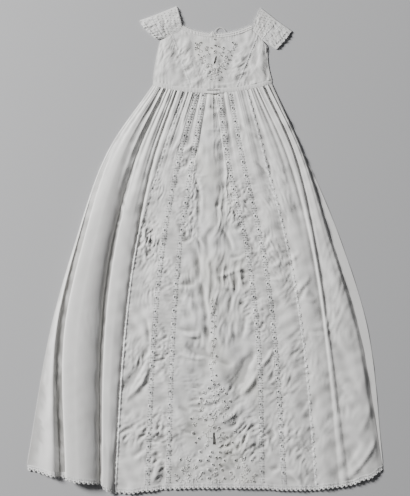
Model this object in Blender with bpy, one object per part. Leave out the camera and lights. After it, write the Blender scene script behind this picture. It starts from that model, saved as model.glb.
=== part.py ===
"""A christening gown of white cotton, laid flat on its back with the hem towards -Y.

The cloth is a set of thin walls. Each wall is a loft: a function gives the middle of the cloth at any
place, and the two faces of the wall lie half its thickness to either side. Neighbouring pieces read the
same function, so they meet along their seams and stay one seam gap apart. Sizes are in millimetres.
"""

import math
from typing import NamedTuple

import bmesh
import bpy
from mathutils import Matrix, Vector

MM = 0.001

# The cloth and its layers
WALL = 1.2
SEAM = 0.3
BACK_Z = WALL / 2
EDGE_Z = BACK_Z + WALL + SEAM
BAND_Z = 2.5
WAIST_Z = 3.4

# Waist: an arc that sags between the side seams, with the waistband hanging from it
WAIST_END_Y = 356.0
WAIST_SAG = 18.0
WAIST_MID_X = 10.0
WAIST_HALF = 126.0
WAISTBAND = 9.6
WAIST_LEFT_X = -109.0
WAIST_RIGHT_X = 140.0
EDGE_ROLL = 20.0

# Neck: a wide scoop, with a lace edge outside a narrow band
NECK_LOW_Y = 455.0
NECK_RISE = 17.0
NECK_MID_X = 24.0
NECK_HALF = 72.0
NECK_LACE = 3.0
NECKBAND = 8.0
NECK_LEFT_X = -48.0
NECK_RIGHT_X = 98.0

# Underarm points, where the armhole seams end
UNDERARM_LEFT = (-94.0, 438.0)
UNDERARM_RIGHT = (132.0, 425.0)

# Hem: a scalloped edging sewn under the skirt panels
HEM_EDGING = 11.0
SCALLOPS = 100
SCALLOP_DEPTH = 2.4
SCALLOP_STEPS = 3
BACK_HEM_SIDE_Y = -457.0
BACK_HEM_DROP = 38.0

# Gathers into the waist seam, one column of the loft up and the next one down
GATHER_HEIGHT = 1.1
GATHER_END = 0.16
GATHER_CLEAR = 1.3

# How far to either side of a place its slope is read, and the angle past which an edge looks sharp
SLOPE_STEP = 0.004
SHARP_ANGLE = math.radians(40)

# The whole gown is moved by this much so that the origin is in the middle of its outline
CENTRE_X = 0.0
CENTRE_Y = -0.73

# How far down the skirt the fold table's columns are: share of the way from waist seam to hem
ACROSS_STATIONS = (0.0, 0.177, 0.405, 0.658, 1.0)
HEIGHT_STATIONS = (0.0, 0.4, 1.0)
BACK_ROWS = (0.0, 0.06, 0.15, 0.27, 0.4, 0.53, 0.66, 0.8, 0.9, 1.0)
BACK_COLUMNS = 12
SKIRT_ROWS = (0.0, 0.012, 0.035, 0.07, 0.12, 0.18, 0.25, 0.33, 0.42, 0.51, 0.60, 0.69, 0.78, 0.86, 0.93, 1.0)


class FoldLine(NamedTuple):
    """A line down the skirt front: how far across it runs, where its hem is and how high the cloth is."""

    name: str
    waist: float
    hip: float
    thigh: float
    knee: float
    hem: float
    hem_y: float
    waist_z: float
    middle_z: float
    hem_z: float
    steps: int


FOLDS = (
    FoldLine("left_edge", -110, -211, -277, -332, -373, -463, EDGE_Z, EDGE_Z, EDGE_Z, 3),
    FoldLine("left_under_layer", -105, -200, -262, -304, -298, -478, 2.6, 2.3, 2.2, 5),
    FoldLine("left_big_roll", -96, -176, -231, -267, -265, -488, 5.4, 15.0, 17.5, 5),
    FoldLine("left_deep_valley", -82, -145, -197, -220, -223, -492, 3.4, 2.6, 2.2, 4),
    FoldLine("left_small_roll", -70, -124, -170, -195, -204, -507, 5.8, 10.5, 12.5, 4),
    FoldLine("left_pleat_valley", -59, -109, -149, -176, -197, -511, 3.6, 2.8, 2.4, 3),
    FoldLine("left_pleat_ridge", -49, -100, -146, -172, -191, -511, 5.4, 4.4, 3.0, 3),
    FoldLine("left_robing_seam", -40, -90, -143, -168, -185, -511, 3.8, 2.4, 2.2, 4),
    FoldLine("left_gore_hollow", -29, -76, -120, -141, -155, -512, 4.8, 2.2, 3.0, 3),
    FoldLine("outer_left_band_a", -20, -61, -95, -114, -126, -507, 3.8, 3.2, 3.0, 2),
    FoldLine("outer_left_band_b", -14, -52, -86, -105, -117, -507, 3.8, 3.2, 3.0, 3),
    FoldLine("inner_left_band_a", -6, -32, -59, -74, -82, -503, 4.0, 3.6, 3.0, 2),
    FoldLine("inner_left_band_b", 0, -23, -50, -65, -73, -503, 4.0, 3.6, 3.0, 2),
    FoldLine("centre_valley", 4, -17, -10, 2, -27, -501, 3.6, 2.3, 2.4, 4),
    FoldLine("centre_swell", 15, 15, 19, 23, 19, -501, 5.4, 5.2, 3.8, 3),
    FoldLine("centre_hollow", 21, 40, 44, 65, 74, -501, 3.8, 2.5, 2.8, 2),
    FoldLine("inner_right_band_a", 26, 44, 84, 108, 115, -502, 4.0, 3.6, 3.0, 2),
    FoldLine("inner_right_band_b", 33, 53, 93, 117, 124, -502, 4.0, 3.6, 3.0, 5),
    FoldLine("outer_right_band_a", 49, 75, 117, 143, 161, -505, 3.8, 3.0, 3.0, 2),
    FoldLine("outer_right_band_b", 56, 84, 126, 153, 171, -505, 3.8, 3.0, 3.0, 4),
    FoldLine("right_gore_swell", 69, 103, 149, 178, 200, -505, 5.2, 5.0, 4.0, 5),
    FoldLine("right_robing_seam", 86, 124, 172, 206, 231, -505, 3.6, 2.4, 2.2, 4),
    FoldLine("right_pleat_ridge", 97, 149, 197, 229, 256, -501, 5.6, 6.2, 5.0, 4),
    FoldLine("right_deep_valley", 109, 174, 223, 254, 281, -499, 3.4, 2.3, 2.2, 3),
    FoldLine("right_narrow_pleat", 117, 182, 228, 259, 292, -497, 5.2, 6.0, 5.2, 2),
    FoldLine("right_second_valley", 124, 189, 233, 265, 302, -495, 3.4, 2.6, 2.4, 4),
    FoldLine("right_roll", 132, 200, 252, 304, 342, -482, 4.0, 9.5, 11.0, 5),
    FoldLine("right_edge", 141, 210, 271, 332, 372, -465, EDGE_Z, EDGE_Z, EDGE_Z, 0),
)

# The back breadth's right edge shows past the front one
BACK_RIGHT_EDGE = (141.0, 211.0, 288.0, 349.0, 373.0)


class BodiceLine(NamedTuple):
    """A line up the bodice front, from the waistband to the neckband or the armhole seam."""

    name: str
    waist: float
    top: float
    bow: float
    z: float
    steps: int


BODICE = (
    BodiceLine("left_side", WAIST_LEFT_X, UNDERARM_LEFT[0], -2.0, EDGE_Z, 4),
    BodiceLine("left_swell", -80, -78, 0.0, 4.4, 4),
    BodiceLine("left_robing_outer", -27, -67, 0.0, 2.6, 2),
    BodiceLine("left_neck_corner", -14, NECK_LEFT_X, 0.0, 4.0, 2),
    BodiceLine("left_robing_inner", -4, -33, 0.0, 2.8, 4),
    BodiceLine("centre", 15, 20, 0.0, 4.4, 4),
    BodiceLine("right_robing_inner", 36, 74, 0.0, 2.8, 2),
    BodiceLine("right_neck_corner", 50, NECK_RIGHT_X, 0.0, 4.2, 2),
    BodiceLine("right_robing_outer", 65, 109, 0.0, 2.6, 4),
    BodiceLine("right_swell", 112, 120, -2.0, 4.6, 4),
    BodiceLine("right_side", WAIST_RIGHT_X, UNDERARM_RIGHT[0], -3.5, EDGE_Z, 0),
)
BODICE_EDGE_PUFF = 0.35
BODICE_ROWS = (0.0, 0.08, 0.2, 0.4, 0.6, 0.8, 0.92, 1.0)


class Sleeve(NamedTuple):
    """A short sleeve folded over its top edge: plan points of the fold, the cuff and the armhole seam."""

    name: str
    neck_fold: tuple
    cuff_seam_fold: tuple
    cuff_fold: tuple
    neck_seam: tuple
    cuff_seam: tuple
    cuff_under: tuple
    bulge: float


SLEEVES = (
    Sleeve("left", (-60, 510), (-102, 493), (-131, 481), (-48.2, 461), (-80, 445.2), (-101, 441), 9.0),
    Sleeve("right", (117, 507), (151, 480), (180, 459), (98.2, 462.2), (118, 440.5), (150, 420), 3.0),
)
SLEEVE_RADIUS = (EDGE_Z - BACK_Z) / 2
SLEEVE_ROWS = 4
SLEEVE_FRONT_STEPS = 6
SLEEVE_FOLD_STEPS = 6
SLEEVE_BACK_STEPS = 4
FRILL_STEPS_PER_WAVE = 4
SLEEVE_PUFF = 1.8
FOLD_SHARE = 0.12
FRILL_WAVES = 9
FRILL_HEIGHT = 1.5

# Cut slits in the whitework, as (length, width, centre x, centre y, turn in degrees)
BODICE_SLIT = (20.0, 3.4, 17.0, 392.0, -14.0)
SKIRT_SLIT = (32.0, 3.2, 18.0, -397.0, 4.0)

# The tape end that lies on the neckband, narrowing to its tip
TAB_LEFT_X = 8.4
TAB_RIGHT_X = 23.1
TAB_LOW_Y = 447.3
TAB_HEIGHT = 10.5
TAB_TIP_WIDTH = 2.0

# The drawstring's loop above the neck edge
LOOP_LEFT_X = 21.0
LOOP_WIDTH = 21.0
LOOP_HEIGHT = 9.0
LOOP_DROOP = 1.6
STRING_DIAMETER = 1.0
LOOP_POINTS = 16


def smooth(f):
    """0 to 1 with a level start and end."""
    return f * f * (3.0 - 2.0 * f)


def lerp(a, b, f):
    return a + (b - a) * f


def through(stations, values, t):
    """A smooth curve through values at the stations: a cubic with the neighbours' slopes."""
    last = len(stations) - 1
    k = min(max(sum(t >= s for s in stations) - 1, 0), last - 1)

    def slope(i):
        low, high = max(i - 1, 0), min(i + 1, last)
        return (values[high] - values[low]) / (stations[high] - stations[low])

    span = stations[k + 1] - stations[k]
    f = (t - stations[k]) / span
    start, end = slope(k) * span, slope(k + 1) * span
    rise = values[k + 1] - values[k]
    return values[k] + f * start + f * f * (3 * rise - 2 * start - end) + f**3 * (start + end - 2 * rise)


def waist_y(x):
    """The waistband's upper edge."""
    return WAIST_END_Y - WAIST_SAG * (1.0 - ((x - WAIST_MID_X) / WAIST_HALF) ** 2)


def neck_y(x):
    """The outer edge of the neck lace."""
    return NECK_LOW_Y + NECK_RISE * ((x - NECK_MID_X) / NECK_HALF) ** 2


def bodice_top_y(x):
    """The bodice's upper edge: under the neckband in the middle, along the armhole seams at the sides."""
    lower = NECK_LACE + NECKBAND
    if x < NECK_LEFT_X:
        share = (x - UNDERARM_LEFT[0]) / (NECK_LEFT_X - UNDERARM_LEFT[0])
        return lerp(UNDERARM_LEFT[1], neck_y(NECK_LEFT_X) - lower, share)
    if x > NECK_RIGHT_X:
        share = (UNDERARM_RIGHT[0] - x) / (UNDERARM_RIGHT[0] - NECK_RIGHT_X)
        return lerp(UNDERARM_RIGHT[1], neck_y(NECK_RIGHT_X) - lower, share)
    return neck_y(x) - lower


def rounded(low_z, high_z, f):
    """Height between two fold lines: round over the higher one, tighter at the lower one."""
    if high_z >= low_z:
        climb = 0.5 * smooth(f) + 0.5 * math.sin(0.5 * math.pi * f)
        return lerp(low_z, high_z, climb)
    return rounded(high_z, low_z, 1.0 - f)


def between(lines, u):
    """The two table rows on either side of place u, and how far it is from one to the other."""
    k = min(max(int(u), 0), len(lines) - 2)
    return lines[k], lines[k + 1], min(max(u - k, 0.0), 1.0)


def fold_x(line, t):
    return through(ACROSS_STATIONS, (line.waist, line.hip, line.thigh, line.knee, line.hem), t)


def fold_z(line, t):
    return through(HEIGHT_STATIONS, (line.waist_z, line.middle_z, line.hem_z), t)


def zigzag(k, f):
    """-1 at one column of the front and 1 at the next, counted from the left edge."""
    column = sum(line.steps for line in FOLDS[:k]) + f * FOLDS[k].steps
    return 1.0 - 2.0 * abs(column % 2.0 - 1.0)


def skirt_front(u, t):
    """The front of the skirt at fold line u, a share t of the way from the waist seam to the hem."""
    a, b, f = between(FOLDS, u)
    down = min(t, 1.0)
    top_x = lerp(a.waist, b.waist, f)
    top_y = waist_y(top_x) - WAISTBAND - SEAM
    bottom_y = lerp(a.hem_y, b.hem_y, smooth(f)) + HEM_EDGING
    z = rounded(fold_z(a, down), fold_z(b, down), f)
    gather = GATHER_HEIGHT * max(0.0, 1.0 - down / GATHER_END) ** 2 * min((z - EDGE_Z) / GATHER_CLEAR, 1.0)
    z += gather * zigzag(FOLDS.index(a), f)
    return Vector((lerp(fold_x(a, down), fold_x(b, down), f), lerp(top_y, bottom_y, t), z))


def skirt_back(u, t):
    """The back breadth, flat on what the gown lies on, from its left edge at u 0 to its right at u 1."""
    left = fold_x(FOLDS[0], t)
    right = through(ACROSS_STATIONS, BACK_RIGHT_EDGE, t)
    top_x = lerp(FOLDS[0].waist, BACK_RIGHT_EDGE[0], u)
    top_y = waist_y(top_x) - WAISTBAND - SEAM
    bottom_y = BACK_HEM_SIDE_Y - BACK_HEM_DROP * math.sin(math.pi * u) + HEM_EDGING
    return Vector((lerp(left, right, u), lerp(top_y, bottom_y, t), BACK_Z))


def bodice_front(u, q):
    """The bodice front at line u, a share q of the way from the waistband to its upper edge."""
    a, b, f = between(BODICE, u)
    waist_x, top_x = lerp(a.waist, b.waist, f), lerp(a.top, b.top, f)
    x = lerp(waist_x, top_x, q) + lerp(a.bow, b.bow, f) * 4.0 * q * (1.0 - q)
    y = lerp(waist_y(waist_x) + SEAM, bodice_top_y(top_x) - SEAM, q)
    puff = BODICE_EDGE_PUFF + (1.0 - BODICE_EDGE_PUFF) * math.sin(math.pi * q)
    z = rounded(a.z, b.z, f)
    return Vector((x, y, lerp(min(z, BAND_Z), z, puff)))


def flat(surface):
    """The same outline laid down on the surface that the gown rests on."""

    def point(u, v):
        p = surface(u, v)
        return Vector((p.x, p.y, BACK_Z))

    return point


def raised(surface, height):
    """The same surface moved out along its own normal, for what is sewn on top."""

    def point(u, v):
        return surface(u, v) + upright(surface, u, v) * height

    return point


def outward(surface, u, v):
    """Unit normal of a surface, from its slopes to either side."""
    across = surface(u + SLOPE_STEP, v) - surface(u - SLOPE_STEP, v)
    along = surface(u, v + SLOPE_STEP) - surface(u, v - SLOPE_STEP)
    normal = across.cross(along)
    return normal.normalized() if normal.length > 0 else Vector((0.0, 0.0, 1.0))


def upright(surface, u, v):
    """A normal that always has its upper side out, for panels that face up."""
    normal = outward(surface, u, v)
    return normal if normal.z > 0 else -normal


def finish(name, mesh_data, material):
    """Links a named object with its material, in metres and in the shared frame."""
    mesh_data.transform(Matrix.Translation((-CENTRE_X, -CENTRE_Y, 0.0)))
    mesh_data.transform(Matrix.Scale(MM, 4))
    mesh_data.materials.append(material)
    mesh_data.shade_smooth()
    mesh_data.set_sharp_from_angle(angle=SHARP_ANGLE)
    made = bpy.data.objects.new(name, mesh_data)
    gown.objects.link(made)
    return made


def wall(name, surface, us, vs, material, normal=upright, ends=(SEAM, SEAM)):
    """A cloth wall over a grid of places on a surface, drawn in by half a seam at its side edges.

    ends are the seam gaps at the first and the last u, 0 on a free edge.
    """
    outer, inner = [], []
    for i, u in enumerate(us):
        for v in vs:
            middle = surface(u, v)
            if i in (0, len(us) - 1):
                inwards = us[1] - us[0] if i == 0 else us[-2] - us[-1]
                across = surface(u + 0.1 * inwards, v) - middle
                gap = ends[0] if i == 0 else ends[1]
                middle = middle + across.normalized() * gap / 2
            half = normal(surface, u, v)
            if v in (0.0, 1.0) and normal is upright:
                half = Vector((half.x, 0.0, half.z)).normalized()
            half = half * WALL / 2
            outer.append(middle + half)
            inner.append(middle - half)

    mesh = bmesh.new()
    top = [mesh.verts.new(p) for p in outer]
    under = [mesh.verts.new(p) for p in inner]
    rows = len(vs)
    for i in range(len(us) - 1):
        for j in range(rows - 1):
            a, b = i * rows + j, (i + 1) * rows + j
            mesh.faces.new((top[a], top[b], top[b + 1], top[a + 1]))
            mesh.faces.new((under[a], under[a + 1], under[b + 1], under[b]))
    rim = [i * rows for i in range(len(us))]
    rim += [(len(us) - 1) * rows + j for j in range(1, rows)]
    rim += [i * rows + rows - 1 for i in range(len(us) - 2, -1, -1)]
    rim += [j for j in range(rows - 2, 0, -1)]
    for a, b in zip(rim, rim[1:] + rim[:1]):
        mesh.faces.new((top[a], under[a], under[b], top[b]))
    bmesh.ops.recalc_face_normals(mesh, faces=mesh.faces)
    data = bpy.data.meshes.new(name)
    mesh.to_mesh(data)
    mesh.free()
    return finish(name, data, material)


def columns(lines, first, last):
    """Places u from one named line to another, with each line's own number of steps."""
    names = [line.name for line in lines]
    places = []
    for k in range(names.index(first), names.index(last)):
        places += [k + i / lines[k].steps for i in range(lines[k].steps)]
    return places + [float(names.index(last))]


def skirt_panel(name, first, last, material, ends=(SEAM, SEAM)):
    """One cut piece of the skirt front, between two of its fold lines."""
    places = columns(FOLDS, first, last)
    return wall(name, skirt_front, places, SKIRT_ROWS, material, ends=ends)


def straight_up(_surface, _u, _v):
    return Vector((0.0, 0.0, 1.0))


def hem_edging(name, surface, panel_places, material):
    """The scalloped edging under one layer of the skirt, along the panels' own lower corners."""
    hem = [(u, surface(u, 1.0)) for u in panel_places]
    left_x, right_x = hem[0][1].x, hem[-1][1].x
    width = HEM_EDGING - SCALLOP_DEPTH

    def along(share):
        x = lerp(left_x, right_x, share)
        k = min(max(sum(p.x <= x for _, p in hem) - 1, 0), len(hem) - 2)
        (u0, p0), (u1, p1) = hem[k], hem[k + 1]
        f = (x - p0.x) / (p1.x - p0.x)
        return lerp(u0, u1, f), p0.lerp(p1, f)

    def point(share, v):
        _, p = along(share)
        bite = SCALLOP_DEPTH * abs(math.sin(math.pi * SCALLOPS * share))
        return Vector((p.x, p.y - SEAM - v * (width + bite), p.z))

    def squared(_surface, share, _v):
        u, _ = along(share)
        slope = upright(surface, u, 0.995)
        return Vector((slope.x, 0.0, slope.z)).normalized()

    count = SCALLOPS * SCALLOP_STEPS
    places = [k / count for k in range(count + 1)]
    return wall(name, point, places, (0.0, 1.0), material, normal=squared, ends=(0.0, 0.0))


def neck_strip(name, low, high, first_x, last_x, z, material, steps):
    """A strip along the neck edge, between two distances below the lace's outer edge."""

    def point(u, v):
        x = lerp(first_x, last_x, u)
        return Vector((x, neck_y(x) - lerp(high, low, v), z(x)))

    places = [k / steps for k in range(steps + 1)]
    return wall(name, point, places, (0.0, 1.0), material, normal=straight_up)


def front_waist_z(x):
    """Height of the front waistband: low at the side edges, lifted by the gathers between them."""
    inset = min(x - WAIST_LEFT_X, WAIST_RIGHT_X - x) / EDGE_ROLL
    return lerp(EDGE_Z, WAIST_Z, math.sin(0.5 * math.pi * min(max(inset, 0.0), 1.0)))


def waistband(name, first_x, last_x, z, material, steps):
    """The band between bodice and skirt, which follows the sagging waist."""

    def point(u, v):
        x = lerp(first_x, last_x, u)
        return Vector((x, waist_y(x) - lerp(WAISTBAND, SEAM, v), z(x)))

    places = [k / steps for k in range(steps + 1)]
    return wall(name, point, places, (0.0, 0.5, 1.0), material, normal=straight_up)


def folded_section(lower, upper, b, rise):
    """A point round a flattened sleeve: up its front from b 0, over the fold at b 0.5, down its back."""
    lower, upper = Vector((*lower, 0.0)), Vector((*upper, 0.0))
    reach = (upper - lower).length - SLEEVE_RADIUS
    along = (upper - lower).normalized()
    straight = 0.5 - FOLD_SHARE
    if b < straight:
        return lower + along * reach * b / straight + Vector((0.0, 0.0, EDGE_Z + rise))
    if b > 1.0 - straight:
        return lower + along * reach * (1.0 - b) / straight + Vector((0.0, 0.0, BACK_Z))
    turn = (b - 0.5) / FOLD_SHARE * 0.5 * math.pi
    out = along * (reach + SLEEVE_RADIUS * math.cos(turn))
    return lower + out + Vector((0.0, 0.0, 0.5 * (EDGE_Z + BACK_Z) - SLEEVE_RADIUS * math.sin(turn)))


def front_share(b):
    """0 to 1 up the front of a flattened sleeve, and 1 past its fold."""
    return min(b / (0.5 - FOLD_SHARE), 1.0)


def towards(a, b, f):
    return (lerp(a[0], b[0], f), lerp(a[1], b[1], f))


def sleeve_surface(sleeve):
    """The sleeve from its neck edge at u 0 to the frill's seam at u 1, and v round its section."""

    def point(u, v):
        lower = towards(sleeve.neck_seam, sleeve.cuff_seam, u)
        upper = towards(sleeve.neck_fold, sleeve.cuff_seam_fold, u)
        return folded_section(lower, upper, v, SLEEVE_PUFF * math.sin(math.pi * front_share(v)))

    return point


def frill_surface(sleeve):
    """The frill from its seam at u 0 to its free edge at u 1, waved along v on its front."""
    side = -1.0 if sleeve.cuff_fold[0] < sleeve.neck_fold[0] else 1.0

    def point(u, v):
        lower = towards(sleeve.cuff_seam, sleeve.cuff_under, u)
        upper = towards(sleeve.cuff_seam_fold, sleeve.cuff_fold, u)
        share = front_share(v)
        puff = SLEEVE_PUFF * math.sin(math.pi * share)
        wave = FRILL_HEIGHT * (0.3 + 0.7 * u) * (1.0 - math.cos(2.0 * math.pi * FRILL_WAVES * share)) / 2
        bulge = side * sleeve.bulge * u * math.sin(math.pi * 2.0 * min(v, 1.0 - v))
        return folded_section(lower, upper, v, puff + wave) + Vector((bulge, 0.0, 0.0))

    return point


def away_from_middle(surface, u, v):
    """Normal of a flattened tube that points out of its hollow."""
    normal = outward(surface, u, v)
    if v < 0.5 - FOLD_SHARE:
        return normal if normal.z > 0 else -normal
    if v > 0.5 + FOLD_SHARE:
        return normal if normal.z < 0 else -normal
    middle = 0.5 * (surface(u, 0.5 - FOLD_SHARE) + surface(u, 0.5 + FOLD_SHARE))
    return normal if normal.dot(surface(u, v) - middle) > 0 else -normal


def slit(target, shape):
    """Cuts a narrow leaf-shaped slit right through a panel with a hidden cutter."""
    length, width, x, y, turn = shape
    bpy.ops.mesh.primitive_cylinder_add(vertices=12, radius=0.5, depth=0.06)
    cutter = bpy.context.active_object
    cutter.name = target.name + "_slit_cutter"
    cutter.data.transform(Matrix.Diagonal((width * MM, length * MM, 1.0, 1.0)))
    cutter.data.transform(Matrix.Rotation(math.radians(turn), 4, "Z"))
    cutter.location = ((x - CENTRE_X) * MM, (y - CENTRE_Y) * MM, 0.0)
    for collection in list(cutter.users_collection):
        collection.objects.unlink(cutter)
    cutters.objects.link(cutter)
    cutter.hide_render = True
    cutter.display_type = "WIRE"
    cut = target.modifiers.new("slit", "BOOLEAN")
    cut.operation = "DIFFERENCE"
    cut.object = cutter


def drawstring(material):
    """The loop of drawstring that stands out above the neck edge, drooping a little."""
    radius = STRING_DIAMETER / 2
    curve = bpy.data.curves.new("neck_drawstring", "CURVE")
    curve.dimensions = "3D"
    curve.bevel_depth = radius * MM
    curve.bevel_resolution = 2
    curve.use_fill_caps = True
    spline = curve.splines.new("POLY")
    spline.points.add(LOOP_POINTS)
    for k, point in enumerate(spline.points):
        turn = math.pi * k / LOOP_POINTS
        x = LOOP_LEFT_X + 0.5 * LOOP_WIDTH * (1.0 - math.cos(turn))
        y = neck_y(x) + SEAM + radius + LOOP_HEIGHT * math.sin(turn)
        z = BAND_Z - LOOP_DROOP * math.sin(turn)
        point.co = ((x - CENTRE_X) * MM, (y - CENTRE_Y) * MM, z * MM, 1.0)
    curve.materials.append(material)
    made = bpy.data.objects.new("neck_drawstring", curve)
    gown.objects.link(made)
    return made


def cotton(name, color, roughness):
    """A matt white cloth."""
    made = bpy.data.materials.new(name)
    made.use_nodes = True
    shader = made.node_tree.nodes["Principled BSDF"]
    shader.inputs["Base Color"].default_value = (*color, 1.0)
    shader.inputs["Roughness"].default_value = roughness
    shader.inputs["Metallic"].default_value = 0.0
    made.diffuse_color = (*color, 1.0)
    return made


def build_skirt(lawn, whitework, lace):
    """The back breadth, the two side breadths, the gores and the bands of insertion between them."""
    back_places = [k / BACK_COLUMNS for k in range(BACK_COLUMNS + 1)]
    wall("skirt_back", skirt_back, back_places, BACK_ROWS, lawn, ends=(0.0, 0.0))
    skirt_panel("skirt_side_left", "left_edge", "left_robing_seam", lawn, (0.0, SEAM))
    skirt_panel("skirt_gore_left", "left_robing_seam", "outer_left_band_a", lawn)
    skirt_panel("insertion_left_outer", "outer_left_band_a", "outer_left_band_b", lace)
    skirt_panel("skirt_strip_left", "outer_left_band_b", "inner_left_band_a", lawn)
    skirt_panel("insertion_left_inner", "inner_left_band_a", "inner_left_band_b", lace)
    centre = skirt_panel("skirt_gore_centre", "inner_left_band_b", "inner_right_band_a", whitework)
    skirt_panel("insertion_right_inner", "inner_right_band_a", "inner_right_band_b", lace)
    skirt_panel("skirt_strip_right", "inner_right_band_b", "outer_right_band_a", lawn)
    skirt_panel("insertion_right_outer", "outer_right_band_a", "outer_right_band_b", lace)
    skirt_panel("skirt_gore_right", "outer_right_band_b", "right_robing_seam", lawn)
    skirt_panel("skirt_side_right", "right_robing_seam", "right_edge", lawn, (SEAM, 0.0))
    slit(centre, SKIRT_SLIT)

    hem_edging("hem_edging_front", skirt_front, columns(FOLDS, "left_edge", "right_edge"), lace)
    hem_edging("hem_edging_back", skirt_back, back_places, lace)


def build_robing_edges(lace):
    """Narrow edging strips laid over the robing seams of skirt and bodice, moved out from the cloth."""
    above = WALL + 1.5 * SEAM
    skirt_lines, bodice_lines = [line.name for line in FOLDS], [line.name for line in BODICE]
    left, right = skirt_lines.index("left_robing_seam"), skirt_lines.index("right_robing_seam")
    over_left, over_right = (left - 2 / 3, left - 1 / 3, left), (right, right + 1 / 8, right + 1 / 4)
    for side, places in (("left", over_left), ("right", over_right)):
        surface = raised(skirt_front, above)
        wall(f"skirt_edging_{side}", surface, places, SKIRT_ROWS[2:], lace, ends=(0.0, 0.0))
    left, right = bodice_lines.index("left_robing_outer"), bodice_lines.index("right_robing_outer")
    for side, places in (("left", (left - 1 / 8, left)), ("right", (right, right + 1 / 8))):
        wall(f"bodice_edging_{side}", raised(bodice_front, above), places, BODICE_ROWS, lace, ends=(0.0, 0.0))


def build_bodice(lawn, whitework, lace):
    """The bodice front in five pieces, its two backs, the waistband and the neckband."""

    def panel(name, first, last, material, ends=(SEAM, SEAM)):
        return wall(name, bodice_front, columns(BODICE, first, last), BODICE_ROWS, material, ends=ends)

    panel("bodice_side_left", "left_side", "left_robing_outer", lawn, (0.0, SEAM))
    panel("bodice_robing_left", "left_robing_outer", "left_robing_inner", lawn)
    centre = panel("bodice_stomacher", "left_robing_inner", "right_robing_inner", whitework)
    panel("bodice_robing_right", "right_robing_inner", "right_robing_outer", lawn)
    panel("bodice_side_right", "right_robing_outer", "right_side", lawn, (SEAM, 0.0))
    slit(centre, BODICE_SLIT)

    backs = flat(bodice_front)
    left_places = columns(BODICE, "left_side", "centre")
    right_places = columns(BODICE, "centre", "right_side")
    wall("bodice_back_left", backs, left_places, BODICE_ROWS, lawn, ends=(0.0, SEAM))
    wall("bodice_back_right", backs, right_places, BODICE_ROWS, lawn, ends=(SEAM, 0.0))

    centre_line = BODICE[[line.name for line in BODICE].index("centre")]

    def on_back(_x):
        return BACK_Z

    def on_front(_x):
        return BAND_Z

    waistband("waistband_front", WAIST_LEFT_X, WAIST_RIGHT_X, front_waist_z, lawn, 30)
    waistband("waistband_back_left", WAIST_LEFT_X, centre_line.waist, on_back, lawn, 10)
    waistband("waistband_back_right", centre_line.waist, WAIST_RIGHT_X, on_back, lawn, 10)
    low = NECK_LACE + NECKBAND
    neck_strip("neckband_front", NECK_LACE, low, NECK_LEFT_X, NECK_RIGHT_X, on_front, lawn, 24)
    neck_strip("neckband_back_left", NECK_LACE, low, NECK_LEFT_X, centre_line.top, on_back, lawn, 10)
    neck_strip("neckband_back_right", NECK_LACE, low, centre_line.top, NECK_RIGHT_X, on_back, lawn, 10)
    neck_strip("neck_lace_front", 0.0, NECK_LACE - SEAM, NECK_LEFT_X, NECK_RIGHT_X, on_front, lace, 24)


def build_tape_tab(material):
    """The folded tape end on the neckband."""
    middle, half = 0.5 * (TAB_LEFT_X + TAB_RIGHT_X), 0.5 * (TAB_RIGHT_X - TAB_LEFT_X)

    def point(u, v):
        reach = lerp(half, 0.5 * TAB_TIP_WIDTH, v)
        return Vector((middle + lerp(-reach, reach, u), TAB_LOW_Y + v * TAB_HEIGHT, BAND_Z + WALL + SEAM))

    wall("neck_tape_tab", point, (0.0, 1.0), (0.0, 0.5, 1.0), material, normal=straight_up, ends=(0.0, 0.0))


def build_sleeves(lawn, lace):
    """Each sleeve folded over its top edge, with a gathered frill at the cuff."""
    straight = 0.5 - FOLD_SHARE
    over = [straight + 2 * FOLD_SHARE * k / SLEEVE_FOLD_STEPS for k in range(1, SLEEVE_FOLD_STEPS)]
    down = [1.0 - straight + straight * k / SLEEVE_BACK_STEPS for k in range(SLEEVE_BACK_STEPS + 1)]
    waves = FRILL_WAVES * FRILL_STEPS_PER_WAVE
    body_around = [straight * k / SLEEVE_FRONT_STEPS for k in range(SLEEVE_FRONT_STEPS + 1)] + over + down
    frill_around = [straight * k / waves for k in range(waves + 1)] + over + down
    lengthways = [k / SLEEVE_ROWS for k in range(SLEEVE_ROWS + 1)]
    for sleeve in SLEEVES:
        body, frill = sleeve_surface(sleeve), frill_surface(sleeve)
        wall(f"sleeve_{sleeve.name}", body, lengthways, body_around, lawn, normal=away_from_middle)
        wall(
            f"sleeve_frill_{sleeve.name}",
            frill,
            lengthways,
            frill_around,
            lace,
            normal=away_from_middle,
            ends=(SEAM, 0.0),
        )


for old in list(bpy.data.objects):
    bpy.data.objects.remove(old)
gown = bpy.data.collections.new("christening_gown")
cutters = bpy.data.collections.new("cutters")
bpy.context.scene.collection.children.link(gown)
bpy.context.scene.collection.children.link(cutters)

lawn_cloth = cotton("cotton_lawn", (0.82, 0.82, 0.80), 0.75)
whitework_cloth = cotton("whitework", (0.84, 0.84, 0.82), 0.8)
lace_cloth = cotton("edging", (0.86, 0.86, 0.84), 0.8)
string_cloth = cotton("drawstring", (0.84, 0.83, 0.80), 0.7)

build_skirt(lawn_cloth, whitework_cloth, lace_cloth)
build_robing_edges(lace_cloth)
build_bodice(lawn_cloth, whitework_cloth, lace_cloth)
build_sleeves(lawn_cloth, lace_cloth)
build_tape_tab(string_cloth)
drawstring(string_cloth)
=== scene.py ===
"""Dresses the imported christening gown: thin cotton cloth with gathers, creases, whitework and lace edges.

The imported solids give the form. Every piece here is laid on the same fold lines, in millimetres on the
plan of the gown, and becomes a thin shell in metres. The gown lies on its back with its hem towards -Y.
"""

import logging
import math
from dataclasses import dataclass
from enum import Enum
from typing import Callable, Optional, Sequence

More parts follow.
